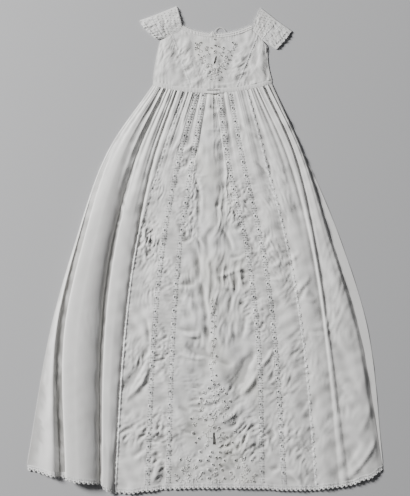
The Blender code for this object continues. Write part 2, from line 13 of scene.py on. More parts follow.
import bpy
import numpy as np
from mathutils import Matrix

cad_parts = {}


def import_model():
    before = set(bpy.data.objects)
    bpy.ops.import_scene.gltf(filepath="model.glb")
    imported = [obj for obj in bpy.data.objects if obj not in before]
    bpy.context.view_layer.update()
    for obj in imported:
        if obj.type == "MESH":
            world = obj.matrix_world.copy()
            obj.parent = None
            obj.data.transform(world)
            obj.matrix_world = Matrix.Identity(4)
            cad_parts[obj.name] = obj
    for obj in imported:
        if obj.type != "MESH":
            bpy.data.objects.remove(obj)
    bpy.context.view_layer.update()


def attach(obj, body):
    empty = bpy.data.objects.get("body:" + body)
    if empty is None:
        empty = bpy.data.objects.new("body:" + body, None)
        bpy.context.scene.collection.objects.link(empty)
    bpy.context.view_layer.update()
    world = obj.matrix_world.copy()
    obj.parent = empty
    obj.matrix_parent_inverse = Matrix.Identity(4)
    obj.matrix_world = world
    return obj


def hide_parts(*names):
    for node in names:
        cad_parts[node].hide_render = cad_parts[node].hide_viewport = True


log = logging.getLogger("christening_gown")

# Metres in a millimetre, and the plan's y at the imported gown's origin
MM = 0.001
CENTRE_Y = -0.73

# The shell's thickness, then middle heights: the backs, the front's side edges, its lowest cloth, the bands
SHEET = 0.45
BACK_Z = 0.3
SIDE_EDGE_Z = 1.0
FRONT_LOW_Z = 1.35
BAND_Z = 2.5

# How far under the waistband's upper edge, above the fold lines' lower ends and under the neck lace seams lie
WAIST_SEAM = 9.9
HEM_SEAM = 11.0
NECK_SEAM = 11.0

# The x of the neckline's corners
NECK_LEFT, NECK_RIGHT = -48.0, 98.0

Array = np.ndarray
Surface = Callable[[Array, Array], Array]


class Slot(Enum):
    """The record's material slots."""

    LAWN = "cotton_lawn"
    WHITEWORK = "whitework"
    EDGING = "edging"
    DRAWSTRING = "drawstring"


@dataclass(frozen=True)
class CottonFinish:
    """How one cloth of the gown looks.

    Attributes:
        name: the material's name.
        light: its colour where it is cleanest.
        shade: its colour where it has yellowed or gone cool with age.
        roughness: the middle of its roughness.
        thread: width of one thread in millimetres.
        relief: how strongly the weave shows.
        sheen: how much the fibres catch light at a low angle.
    """

    name: str
    light: tuple[float, float, float]
    shade: tuple[float, float, float]
    roughness: float
    thread: float
    relief: float
    sheen: float


@dataclass(frozen=True)
class FoldLine:
    """A line down the skirt front: x at five stations, its lower end's y, and z at waist, middle and hem."""

    name: str
    across: tuple[float, float, float, float, float]
    hem_y: float
    heights: tuple[float, float, float]


@dataclass(frozen=True)
class BodiceLine:
    """A line up the bodice front: x at the waist and at the top, its bow between them, and its z."""

    name: str
    waist: float
    top: float
    bow: float
    z: float


@dataclass(frozen=True)
class Crease:
    """A trough (depth below 0) or ridge (above 0) from one plan point to another.

    One of its sides is steep, only sharp times as wide as a plain bell. It bows to the left by its length
    times bow.
    """

    x0: float
    y0: float
    x1: float
    y1: float
    width: float
    depth: float
    sharp: float = 0.55
    bow: float = 0.06


@dataclass(frozen=True)
class Pleat:
    """A trough or ridge that runs down the skirt along place u, from share t0 to share t1."""

    u: float
    t0: float
    t1: float
    width: float
    depth: float


@dataclass(frozen=True)
class WrinklePatch:
    """An area of small creases that run roughly one way, as washing and folding left them.

    Attributes:
        middle: its middle on the plan.
        reach: half its size along X and along Y.
        turn: the direction of its creases in degrees from +X.
        along: about the length of one crease.
        across: about the distance from one to the next.
        height: from valley to ridge.
    """

    middle: tuple[float, float]
    reach: tuple[float, float]
    turn: float
    along: float
    across: float
    height: float


@dataclass(frozen=True)
class Floret:
    """A round flower: petals in satin stitch round an eyelet."""

    x: float
    y: float
    reach: float
    petals: int
    turn: float


@dataclass(frozen=True)
class Spray:
    """A curved stem with pairs of leaves and an eyelet at its tip.

    Bow is the stem's sag as a share of its length, leaf the length of its longest leaves.
    """

    x0: float
    y0: float
    x1: float
    y1: float
    bow: float
    pairs: int
    leaf: float


# Shares of the way down the skirt at which a fold line's x and its z are given
ACROSS_STATIONS = (0.0, 0.177, 0.405, 0.658, 1.0)
HEIGHT_STATIONS = (0.0, 0.4, 1.0)

FOLDS = (
    FoldLine("left_edge", (-110, -205, -270, -326, -373), -463, (2.1, 2.1, 2.1)),
    FoldLine("left_under_layer", (-105, -202, -268, -311, -306), -478, (2.6, 2.3, 2.2)),
    FoldLine("left_big_roll", (-96, -176, -231, -267, -265), -488, (4.8, 15.0, 17.5)),
    FoldLine("left_deep_valley", (-82, -145, -197, -220, -223), -492, (3.9, 2.4, 2.0)),
    FoldLine("left_small_roll", (-70, -124, -170, -195, -204), -507, (5.0, 8.5, 9.5)),
    FoldLine("left_pleat_valley", (-59, -109, -148, -173, -190), -511, (4.0, 3.0, 2.8)),
    FoldLine("left_pleat_ridge", (-49, -100, -145.5, -170.5, -187.5), -511, (4.8, 3.8, 3.0)),
    FoldLine("left_robing_seam", (-40, -90, -143, -168, -185), -511, (3.8, 2.4, 2.2)),
    FoldLine("left_gore_hollow", (-29, -76, -120, -141, -155), -512, (4.8, 2.2, 3.0)),
    FoldLine("outer_left_band_a", (-20, -61, -95, -114, -126), -507, (3.8, 3.2, 3.0)),
    FoldLine("outer_left_band_b", (-14, -52, -86, -105, -117), -507, (3.8, 3.2, 3.0)),
    FoldLine("inner_left_band_a", (-6, -32, -59, -74, -82), -503, (4.0, 3.6, 3.0)),
    FoldLine("inner_left_band_b", (0, -23, -50, -65, -73), -503, (4.0, 3.6, 3.0)),
    FoldLine("centre_valley", (4, -17, -10, 2, -27), -501, (3.6, 2.3, 2.4)),
    FoldLine("centre_swell", (15, 15, 19, 23, 19), -501, (5.4, 5.2, 3.8)),
    FoldLine("centre_hollow", (21, 40, 44, 65, 74), -501, (3.8, 2.5, 2.8)),
    FoldLine("inner_right_band_a", (26, 44, 84, 108, 115), -502, (4.0, 3.6, 3.0)),
    FoldLine("inner_right_band_b", (33, 53, 93, 117, 124), -502, (4.0, 3.6, 3.0)),
    FoldLine("outer_right_band_a", (49, 75, 117, 143, 161), -505, (3.8, 3.0, 3.0)),
    FoldLine("outer_right_band_b", (56, 84, 126, 153, 171), -505, (3.8, 3.0, 3.0)),
    FoldLine("right_gore_swell", (69, 103, 149, 178, 200), -505, (5.2, 5.0, 4.0)),
    FoldLine("right_robing_seam", (86, 124, 172, 206, 231), -505, (3.6, 2.4, 2.2)),
    FoldLine("right_pleat_ridge", (97, 149, 197, 229, 256), -501, (5.0, 5.6, 4.6)),
    FoldLine("right_deep_valley", (109, 174, 223, 254, 281), -499, (4.0, 3.2, 3.0)),
    FoldLine("right_narrow_pleat", (117, 182, 228, 259, 292), -497, (4.8, 5.4, 4.8)),
    FoldLine("right_second_valley", (124, 189, 233, 265, 302), -495, (3.8, 3.2, 3.0)),
    FoldLine("right_roll", (132, 200, 252, 304, 342), -482, (3.8, 5.2, 5.0)),
    FoldLine("right_edge", (141, 205, 265, 326, 372), -465, (2.1, 2.1, 2.1)),
)
# The back breadth's right edge, which shows beside the front, at the same five stations
BACK_RIGHT_EDGE = (141.0, 206.0, 282.0, 343.0, 373.0)

BODICE = (
    BodiceLine("left_side", -109, -94, -2.0, 2.1),
    BodiceLine("left_swell", -80, -78, 0.0, 4.4),
    BodiceLine("left_robing_outer", -27, -67, 0.0, 2.6),
    BodiceLine("left_neck_corner", -14, -48, 0.0, 4.0),
    BodiceLine("left_robing_inner", -4, -33, 0.0, 2.8),
    BodiceLine("centre", 15, 20, 0.0, 4.4),
    BodiceLine("right_robing_inner", 36, 74, 0.0, 2.8),
    BodiceLine("right_neck_corner", 50, 98, 0.0, 4.2),
    BodiceLine("right_robing_outer", 65, 109, 0.0, 2.6),
    BodiceLine("right_swell", 112, 120, -2.0, 4.0),
    BodiceLine("right_side", 140, 132, -3.5, 2.1),
)

# Creases on the skirt front: start, end, width and depth, then its steepness and bow where they aren't usual
SKIRT_CREASES = tuple(
    Crease(*row)
    for row in (
        (4, 331, 44, 330, 4.0, -4.2), (27, 291, 10, 300, 6.0, -3.4), (36, 300, 14, 304, 3.0, 2.2),
        (-48, 276, -71, 209, 6.0, -3.9), (123, 236, 74, 266, 5.0, 3.6, 0.35),
        (124, 228, 106, 239, 4.0, -2.2), (36, 253, 2, 253, 2.4, 1.0), (-16, 226, -58, 204, 5.0, 3.4),
        (-14, 217, -45, 168, 6.4, -5.7), (104, 185, 132, 157, 2.6, -1.7), (127, 199, 139, 150, 2.8, -2.0),
        (176, 152, 139, 186, 6.0, 2.2), (5, 156, -21, 156, 2.4, 1.2), (-19, 158, -15, 50, 3.6, -3.4, 0.35),
        (45, 190, 42, 132, 4.6, 2.2, 0.3), (42, 137, 46, 100, 4.2, 2.0, 0.3), (31, 97, 22, 88, 3.4, -3.4),
        (-20, 87, -45, 60, 3.2, -2.2, 0.35), (-25, 28, -45, 15, 3.4, -2.2), (-20, 27, -3, -2, 3.4, -3.1),
        (36, 44, 58, -4, 4.4, -3.6), (79, 51, 66, 39, 4.6, -3.9), (76, 62, 56, 50, 5.0, 1.8),
        (82, -11, 52, -17, 3.6, -2.2), (2, 4, 2, -126, 3.6, 1.6, 0.4), (-19, 2, -13, -68, 6.0, -3.4),
        (-8, -70, -3, -104, 5.0, -3.1), (-3, -100, 3, -160, 4.6, -2.2), (3, -156, 6, -200, 4.6, -3.1),
        (95, -29, 60, -48, 5.0, 3.4, 0.22), (64, -45, 22, -58, 5.0, 3.4, 0.22),
        (61, -80, 28, -74, 4.6, 2.0), (70, -56, 65, -76, 3.0, -1.8), (-19, -71, -62, -72, 5.4, -3.1),
        (-14, -104, -56, -84, 6.0, -1.4), (56, -83, 48, -138, 3.6, -1.7), (47, -140, 40, -204, 3.8, -1.6),
        (88, -114, 72, -113, 5.0, -2.2), (85, -136, 74, -188, 6.6, -3.9), (-8, -169, -60, -166, 6.4, -3.4),
        (-9, -183, -45, -176, 3.2, 3.6, 0.4, 0.1), (20, -226, -42, -201, 9.0, -5.5),
        (60, -243, 10, -222, 7.5, -4.7), (-2, -230, -56, -217, 3.4, 3.4, 0.4, 0.08),
        (166, -64, 103, -55, 3.4, 3.4, 0.3), (157, -18, 138, -36, 4.2, 2.2, 0.5, 0.2),
        (112, -204, 84, -246, 8.0, -5.2), (94, -226, 62, -290, 10.0, -5.7),
        (144, -206, 108, -250, 5.4, 4.7), (120, -236, 72, -308, 6.6, 5.2), (79, -324, 42, -356, 5.6, 2.2),
        (74, -349, 46, -379, 7.0, -2.6), (110, -383, 89, -380, 4.6, -3.6), (84, -415, 47, -408, 6.0, -2.2),
        (44, -453, 61, -471, 4.0, -2.2), (137, -374, 149, -399, 6.0, -2.2),
        (-8, -388, -54, -378, 3.2, -2.2), (-54, -381, -72, -374, 4.2, -3.6),
        (-30, -340, -56, -331, 6.0, -2.2), (-79, -394, -114, -400, 6.0, -4.4),
        (-76, -377, -111, -383, 5.0, 3.6), (-84, -446, -92, -497, 6.4, -2.2),
        (-94, -450, -112, -486, 5.2, 1.4), (-126, -374, -147, -388, 4.2, 3.6),
        (-126, -415, -153, -436, 5.2, -3.9), (-118, -208, -175, -299, 8.0, -5.5),
        (-118, -254, -170, -316, 6.0, 4.4), (-124, -144, -118, -212, 4.2, -2.2),
        (-163, 76, -176, 97, 4.2, 2.2), (-170, 58, -190, 57, 3.2, 2.2), (-134, 54, -142, -2, 4.6, -4.2),
        (-177, 106, -163, 80, 4.2, -1.8), (174, -1, 183, -44, 4.2, -3.4), (200, -4, 165, -27, 4.4, 3.1),
        (220, -55, 190, -86, 4.6, 3.4), (212, -75, 194, -107, 4.0, -3.1), (234, -106, 203, -101, 4.2, 3.1),
        (252, -169, 219, -173, 3.6, -3.4), (226, -300, 198, -354, 6.6, 1.8),
        (158, -455, 138, -464, 5.0, -3.4), (170, -470, 201, -498, 5.0, -3.1),
        (365, -384, 292, -486, 4.4, 3.4), (326, -400, 272, -475, 9.0, -2.2),
        (346, -330, 318, -392, 6.0, 1.0), (-309, -253, -336, -370, 5.0, 3.1),
        (-335, -364, -351, -444, 5.0, 2.0),
    )
)

# Long pleats that fan out from the gathers: place counted in fold lines, first and last share, width, depth
PLEATS = tuple(
    Pleat(*row)
    for row in (
        (0.55, 0.0, 0.36, 2.8, -1.3), (1.35, 0.0, 0.30, 2.6, -1.8), (1.70, 0.0, 0.52, 3.4, 1.2),
        (2.30, 0.0, 0.42, 3.0, -1.9), (2.62, 0.0, 0.66, 4.0, 1.3), (3.02, 0.0, 0.95, 2.8, -1.8),
        (3.45, 0.0, 0.34, 2.6, -1.7), (3.75, 0.0, 0.55, 3.0, 1.4), (4.40, 0.0, 0.40, 2.6, -1.9),
        (4.70, 0.0, 0.30, 2.4, 1.2), (5.02, 0.0, 0.90, 2.2, -1.5), (5.50, 0.0, 0.32, 2.4, 1.3),
        (6.45, 0.0, 0.42, 2.4, -1.5), (7.55, 0.0, 0.26, 3.0, -1.3), (8.30, 0.0, 0.34, 3.2, 1.2),
        (10.5, 0.0, 0.22, 3.0, -1.1), (13.5, 0.0, 0.16, 3.0, 1.0), (14.5, 0.0, 0.20, 3.0, -1.2),
        (17.4, 0.0, 0.24, 3.4, -1.2), (17.8, 0.0, 0.30, 3.4, 1.1), (19.5, 0.0, 0.34, 3.4, -1.3),
        (20.5, 0.0, 0.46, 3.6, -1.5), (21.5, 0.0, 0.40, 3.0, -1.5), (22.5, 0.0, 0.55, 3.2, -1.6),
        (23.02, 0.0, 0.96, 2.6, -1.7), (24.4, 0.0, 0.40, 2.4, 1.2), (25.05, 0.0, 0.95, 2.4, -1.6),
        (25.55, 0.0, 0.62, 3.4, -1.4), (26.40, 0.0, 0.40, 3.0, -1.2),
    )
)

# Small creases that the washing and folding left: middle, reach, turn, length, distance and height
SKIRT_PATCHES = tuple(
    WrinklePatch(*row)
    for row in (
        ((20, 215), (80, 110), 76, 44, 12, 1.4), ((-36, 120), (30, 130), 26, 17, 7.0, 2.4),
        ((-84, -140), (32, 150), 28, 19, 7.5, 2.6), ((-97, -410), (32, 110), 36, 24, 8.5, 2.5),
        ((74, 120), (28, 120), 30, 17, 7.0, 2.4), ((112, -110), (34, 130), 38, 21, 8.0, 2.5),
        ((142, -390), (36, 150), 44, 28, 9.5, 2.5), ((-112, 20), (30, 130), 52, 19, 7.5, 2.8),
        ((-142, -340), (36, 190), 50, 30, 10.0, 3.0), ((152, 70), (34, 120), 118, 20, 8.0, 2.2),
        ((188, -290), (50, 230), 46, 28, 9.5, 2.1), ((-18, -335), (62, 66), 12, 28, 9.5, 2.6),
        ((30, -450), (100, 60), 32, 17, 7.0, 2.4), ((20, -60), (85, 170), 80, 60, 17, 2.0),
        ((86, -320), (42, 120), 46, 28, 9.0, 2.4), ((270, -250), (56, 270), 62, 46, 13, 0.9),
        ((-338, -330), (40, 170), 57, 32, 9.5, 2.4), ((-240, -330), (50, 200), 84, 70, 11, 0.8),
    )
)

BODICE_PATCHES = tuple(
    WrinklePatch(*row)
    for row in (
        ((-64, 395), (36, 50), 64, 28, 9.0, 0.8), ((-38, 395), (24, 54), 18, 17, 8.5, 1.2),
        ((20, 400), (52, 54), 20, 10, 6.0, 1.1), ((80, 400), (26, 54), 24, 17, 8.5, 1.1),
        ((118, 395), (26, 50), 108, 28, 9.0, 0.8),
    )
)

BODICE_CREASES = tuple(
    Crease(*row)
    for row in (
        (8, 375, -30, 346, 6.0, 1.4), (84, 378, 40, 359, 6.0, 1.2), (67, 385, 54, 377, 4.4, -1.2),
        (79, 395, 58, 383, 5.0, 1.2), (79, 365, 64, 346, 5.0, -0.6), (98, 413, 72, 403, 6.0, 1.1),
        (105, 455, 92, 424, 6.4, 2.4), (-26, 402, -48, 385, 7.0, 1.5), (-30, 438, -56, 421, 8.0, 1.5),
        (-22, 387, -46, 372, 4.0, -1.8), (64, 350, 14, 347, 3.8, 2.2), (-92, 436, -88, 398, 3.4, -1.8),
        (-69, 428, -47, 390, 4.0, -1.4), (-60, 392, -38, 352, 5.0, -1.4), (132, 374, 126, 348, 3.6, -2.8),
        (106, 357, 84, 355, 4.2, -2.4), (112, 415, 98, 372, 6.0, -1.6),
    )
)

# The whitework on the centre gore: a middle stem, a tree that opens to both sides, and two bunches at the hem
SKIRT_FLORETS = tuple(
    Floret(*row)
    for row in (
        (15, -106, 4.6, 5, 90), (14, -133, 4.2, 5, 54), (17, -200, 4.6, 5, 90), (18, -236, 5.0, 6, 60),
        (34, -293, 6.6, 8, 0), (-2, -300, 5.0, 6, 20), (44, -330, 5.6, 6, 10), (-8, -336, 5.4, 6, 40),
        (19, -352, 6.2, 7, 90), (-22, -366, 4.8, 5, 30), (58, -362, 4.8, 5, 80), (-35, -440, 6.0, 7, 15),
        (-22, -456, 5.4, 6, 45), (-46, -462, 5.4, 6, 70), (-33, -474, 5.0, 6, 10), (80, -438, 6.0, 7, 35),
        (68, -455, 5.4, 6, 5), (90, -462, 5.4, 6, 50), (78, -474, 5.0, 6, 75), (22, -470, 5.0, 6, 60),
    )
)
SKIRT_SPRAYS = tuple(
    Spray(*row)
    for row in (
        (16, -98, 17, -196, 0.03, 7, 5.0), (17, -204, 18, -282, -0.04, 6, 5.0),
        (18, -284, 18, -372, 0.03, 8, 5.6), (18, -300, 40, -318, -0.16, 3, 4.6),
        (18, -306, -12, -322, 0.16, 4, 4.6), (18, -330, 60, -348, -0.18, 5, 5.0),
        (18, -334, -30, -352, 0.18, 5, 5.0), (18, -360, 46, -392, -0.14, 4, 5.0),
        (18, -360, -14, -394, 0.14, 4, 5.0), (6, -384, -12, -424, 0.2, 5, 5.0),
        (32, -384, 50, -424, -0.2, 5, 5.0), (-34, -496, -36, -446, 0.08, 6, 5.4),
        (-34, -490, -62, -470, 0.18, 4, 5.0), (-34, -490, -8, -468, -0.18, 4, 5.0),
        (80, -496, 80, -444, -0.08, 6, 5.4), (80, -490, 106, -470, -0.18, 4, 5.0),
        (80, -490, 54, -468, 0.18, 4, 5.0), (22, -496, 22, -458, 0.06, 5, 5.0),
        (22, -490, 4, -478, 0.2, 3, 4.4), (22, -490, 40, -478, -0.2, 3, 4.4),
    )
)
SKIRT_BERRIES = (
    (9, -432), (16, -435), (23, -436), (30, -434), (36, -431), (12, -424), (31, -424), (4, -440),
    (41, -440), (8, -290), (27, -282), (26, -303), (42, -300), (2, -316), (-10, -312), (52, -316),
    (30, -342), (8, -344), (-2, -356), (38, -360), (28, -372), (10, -374), (-26, -384), (62, -380),
    (-20, -404), (58, -404), (0, -410), (42, -410), (-52, -440), (-12, -440), (62, -440), (98, -440),
    (-60, -484), (-14, -486), (56, -486), (102, -486), (8, -460), (36, -460), (14, -448), (29, -448),
    (16, -118), (20, -124), (13, -148), (20, -160), (12, -172), (21, -184), (13, -214), (22, -222),
    (12, -250), (23, -262), (13, -272),
)

BODICE_FLORETS = tuple(
    Floret(*row)
    for row in (
        (-15, 429, 5.0, 6, 0), (63, 429, 5.0, 6, 30), (20, 415, 4.6, 6, 0), (-2, 405, 4.0, 5, 30),
        (43, 404, 4.0, 5, 50), (5, 388, 3.8, 5, 10), (36, 388, 3.8, 5, 80),
    )
)
BODICE_SPRAYS = tuple(
    Spray(*row)
    for row in (
        (20, 352, 20, 378, 0.03, 4, 3.8), (20, 358, 3, 384, -0.16, 5, 3.6),
        (20, 358, 38, 384, 0.16, 5, 3.6), (18, 364, -10, 398, -0.18, 6, 3.6),
        (22, 364, 52, 398, 0.18, 6, 3.6), (-4, 410, -20, 422, -0.1, 3, 3.4),
        (46, 410, 62, 420, 0.1, 3, 3.4), (12, 404, 4, 424, 0.1, 3, 3.2), (28, 404, 38, 422, -0.1, 3, 3.2),
    )
)
BODICE_BERRIES = (
    (12, 381), (28, 380), (8, 373), (32, 372), (14, 367), (26, 366), (20, 359), (12, 356),
    (28, 355), (34, 361), (4, 364), (0, 376), (40, 378), (-6, 390), (46, 390), (48, 398),
    (-8, 402), (34, 405), (37, 413), (8, 410), (12, 422), (28, 424), (-20, 432), (-9, 434),
    (-14, 421), (58, 433), (68, 434), (62, 421), (20, 428), (20, 440), (2, 418), (50, 415),
    (-14, 408), (54, 406),
)


def smooth(f: Array) -> Array:
    """0 to 1 with a level start and end."""
    return f * f * (3.0 - 2.0 * f)


def through(stations: Sequence[float], values: Array, t: Array) -> Array:
    """Smooth curves through values at the stations.

    Between two stations each curve is a cubic that leaves and arrives with the slope of the chord
    between its neighbours, so nothing kinks at a station.

    Args:
        stations: rising positions, n of them.
        values: one row for each curve, n values in each.
        t: positions to read, any number.

    Returns:
        One row for each curve, one column for each position.
    """
    knots = np.asarray(stations)
    last = len(knots) - 1
    k = np.clip(np.searchsorted(knots, t, side="right") - 1, 0, last - 1)
    low = np.maximum(np.arange(last + 1) - 1, 0)
    high = np.minimum(np.arange(last + 1) + 1, last)
    slope = (values[:, high] - values[:, low]) / (knots[high] - knots[low])
    span = knots[k + 1] - knots[k]
    f = (t - knots[k]) / span
    start, end = slope[:, k] * span, slope[:, k + 1] * span
    rise = values[:, k + 1] - values[:, k]
    return values[:, k] + f * start + f**2 * (3 * rise - 2 * start - end) + f**3 * (start + end - 2 * rise)


def rounded(a: Array, b: Array, f: Array) -> Array:
    """Height between two lines: round over the higher one and tighter at the lower one."""
    climb = np.where(b >= a, f, 1.0 - f)
    share = 0.5 * smooth(climb) + 0.5 * np.sin(0.5 * math.pi * climb)
    return np.minimum(a, b) + np.abs(b - a) * share


def soft_floor(z: Array, lowest: float, softness: float = 0.35) -> Array:
    """Keeps heights above the lowest one, with a soft turn instead of a kink."""
    over = z - lowest
    return lowest + 0.5 * (over + np.sqrt(over**2 + softness**2))


def waist_y(x: Array) -> Array:
    """The waistband's upper edge, a parabola that is 18 mm lower at x 10 than 126 mm to either side."""
    return 356.0 - 18.0 * (1.0 - ((x - 10.0) / 126.0) ** 2)


def neck_y(x: Array) -> Array:
    """The outer edge of the neck lace, a parabola that rises 17 mm within 72 mm of its lowest point."""
    return 455.0 + 17.0 * ((x - 24.0) / 72.0) ** 2


class Crumple:
    """The small unevenness of washed cotton, a sum of soft waves in many directions."""

    def __init__(self, seed: int, waves: int, shortest: float, longest: float, height: float) -> None:
        """
        Args:
            seed: makes the same cloth on every run.
            waves: how many waves are added up.
            shortest: the shortest wave in millimetres.
            longest: the longest wave in millimetres.
            height: the height of the sum in millimetres.
        """
        rng = np.random.RandomState(seed)
        length = np.exp(rng.uniform(math.log(shortest), math.log(longest), waves))
        turn = rng.uniform(0.0, math.tau, waves)
        self.kx = math.tau / length * np.cos(turn)
        self.ky = math.tau / length * np.sin(turn)
        self.phase = rng.uniform(0.0, math.tau, waves)
        weight = np.sqrt(length / longest)
        self.weight = height * weight / weight.sum() * math.sqrt(waves) * 0.5

    def height(self, x: Array, y: Array) -> Array:
        """The cloth's small lift at plan points."""
        total = np.zeros_like(x)
        for kx, ky, phase, weight in zip(self.kx, self.ky, self.phase, self.weight):
            total += weight * np.sin(kx * x + ky * y + phase)
        return total


class Lattice:
    """Smooth irregular noise: a slope of its own at each corner of a square lattice, blended in between."""

    def __init__(self, seed: int) -> None:
        rng = np.random.RandomState(seed)
        self.order = rng.permutation(256)
        turn = rng.uniform(0.0, math.tau, 256)
        self.slope_x, self.slope_y = np.cos(turn), np.sin(turn)

    def __call__(self, x: Array, y: Array) -> Array:
        """The noise at lattice coordinates, about -0.7 to 0.7.

        Each of the four corners round a point adds its slope times the way to the point. Its weight is
        6 n^5 - 15 n^4 + 10 n^3 of the nearness n along each side.
        """
        i, j = np.floor(x).astype(int), np.floor(y).astype(int)
        total = np.zeros_like(x)
        for di in (0, 1):
            for dj in (0, 1):
                away_x, away_y = x - i - di, y - j - dj
                corner = self.order[(self.order[(i + di) & 255] + j + dj) & 255]
                near_x, near_y = 1.0 - np.abs(away_x), 1.0 - np.abs(away_y)
                weight = near_x**3 * (near_x * (6.0 * near_x - 15.0) + 10.0)
                weight = weight * near_y**3 * (near_y * (6.0 * near_y - 15.0) + 10.0)
                total += weight * (self.slope_x[corner] * away_x + self.slope_y[corner] * away_y)
        return total


class Wrinkles:
    """Patches of irregular creases, tight along their ridges and round in their valleys."""

    CREST, TIGHTNESS, SCALE = 0.2, 0.06, 2.8

    # How far a crease bends, and over what distance; how much finer and how much lower the second set is
    BEND, BEND_SPREAD = 16.0, 52.0
    FINER, FINER_HEIGHT = 2.1, 0.4

    # The gain's middle, range, least and most; where the patch ends and how fast it fades
    GAIN = (0.62, 1.9, 0.06, 1.5)
    EDGE, FADE = 2.6, 0.75

    def __init__(self, patches: Sequence[WrinklePatch], seed: int) -> None:
        self.patches = patches
        self.first, self.second, self.wide = (Lattice(seed + k) for k in range(3))

    def ridges(self, noise: Array) -> Array:
        """Ridges where a noise is 0: the crest less the root of noise squared plus tightness squared."""
        return self.SCALE * (self.CREST - np.sqrt(noise**2 + self.TIGHTNESS**2))

    def height(self, x: Array, y: Array) -> Array:
        """Adds the patches up at plan points.

        In a patch's own directions the noise is drawn out along its creases. A finer and lower set is added
        to it. A wide noise bends the creases and leaves some places smooth.
        """
        total = np.zeros_like(x)
        bend = self.BEND * self.wide(x / self.BEND_SPREAD, y / self.BEND_SPREAD)
        middle, change, least, most = self.GAIN
        gain = np.clip(middle + change * self.wide(y / 83.0 + 7.3, x / 61.0), least, most)
        for k, patch in enumerate(self.patches):
            dx, dy = x - patch.middle[0], y - patch.middle[1]
            inside = (dx / patch.reach[0]) ** 2 + (dy / patch.reach[1]) ** 2
            near = np.flatnonzero(inside < self.EDGE)
            if not near.size:
                continue
            turn = math.radians(patch.turn)
            a = dx[near] * math.cos(turn) + dy[near] * math.sin(turn)
            b = dy[near] * math.cos(turn) - dx[near] * math.sin(turn) + bend[near]
            a, b = a / patch.along + 9.1 * k, b / patch.across + 5.7 * k
            finer = self.ridges(self.second(self.FINER * a, self.FINER * b))
            folds = self.ridges(self.first(a, b)) + self.FINER_HEIGHT * finer
            total[near] += patch.height * gain[near] * np.exp(-self.FADE * inside[near] ** 2) * folds
        return total


class Creases:
    """The creases that are placed one by one.

    Most of them lean one way, so the wall that faces that way is the steep one. A crease as sharp as CRISP
    is steep on the left of its own direction instead.
    """

    # How far a crease reaches to each side, in widths, and how much wider than a plain bell its easy side is
    REACH, EASY = 4.0, 1.3
    LEAN = (-0.88, 0.48)
    CRISP = 0.4

    # Each shoulder's height, place and width, as shares of the crease's depth and width
    SHOULDERS = ((0.42, 1.7, 0.9), (0.26, -2.4, 1.1))

    def __init__(self, creases: Sequence[Crease], most: float) -> None:
        """
        Args:
            creases: their ends, widths, depths, steepness and bow.
            most: the greatest depth or height as a share of a crease's width.
        """
        self.creases = creases
        self.most = most
        table = np.array([(c.x0, c.y0, c.x1, c.y1) for c in creases], float)
        wide = np.array([c.width for c in creases])
        margin = self.REACH * wide + 0.12 * np.hypot(table[:, 2] - table[:, 0], table[:, 3] - table[:, 1])
        self.low = np.minimum(table[:, :2], table[:, 2:]) - margin[:, None]
        self.high = np.maximum(table[:, :2], table[:, 2:]) + margin[:, None]

    def height(self, x: Array, y: Array) -> Array:
        """Adds the creases up at plan points.

        Across its line a crease is a bell, narrow on its steep side. Beyond each side stands a lower
        shoulder of the other sign, as cloth pushed aside makes. Along its line it fades as the sine of the
        share of its length.
        """
        total = np.zeros_like(x)
        for crease, low, high in zip(self.creases, self.low, self.high):
            near = np.flatnonzero((x > low[0]) & (x < high[0]) & (y > low[1]) & (y < high[1]))
            if not near.size:
                continue
            dx, dy = crease.x1 - crease.x0, crease.y1 - crease.y0
            length = math.hypot(dx, dy)
            px, py = x[near] - crease.x0, y[near] - crease.y0
            along = np.clip((px * dx + py * dy) / length**2, 0.0, 1.0)
            arch = np.sin(math.pi * along)
            across = (py * dx - px * dy) / length - crease.bow * length * arch
            side = across / crease.width
            faces = (self.LEAN[1] * dx - self.LEAN[0] * dy) * crease.depth > 0.0 or crease.sharp <= self.CRISP
            bell = np.exp(-((side / np.where((side > 0.0) == faces, crease.sharp, self.EASY)) ** 2))
            shoulders = sum(h * np.exp(-(((side - place) / wide) ** 2)) for h, place, wide in self.SHOULDERS)
            most = self.most * crease.width
            total[near] += most * math.tanh(crease.depth / most) * arch**0.7 * (bell - shoulders)
        return total


class Front:
    """What the skirt's front and the bodice's share.

    A place on a front is u, counted in lines from the left, and v, the share of the way along them.
    """

    def __init__(self, lines: Sequence, crumple: Crumple, creases: Creases, wrinkles: Wrinkles) -> None:
        self.lines = lines
        self.last = len(lines) - 1
        self.crumple = crumple
        self.creases = creases
        self.wrinkles = wrinkles

    def index(self, name: str) -> int:
        """The place u of a named line."""
        return [line.name for line in self.lines].index(name)

    def cell(self, u: Array) -> tuple[Array, Array]:
        """The line at the left of each place, and the share of the way to the next."""
        k = np.clip(u.astype(int), 0, self.last - 1)
        return k, u - k

    def __call__(self, u: Array, v: Array) -> Array:
        """Points of the cloth's middle, as an array of x, y and z."""
        x, y = self.plan(u, v)
        return np.stack((x, y, self.height(u, v, x, y)), axis=-1)

    def lift(self, x: Array, y: Array) -> Array:
        """The cloth's height under plan points."""
        u, v = self.locate(x, y)
        return self.height(u, v, x, y)


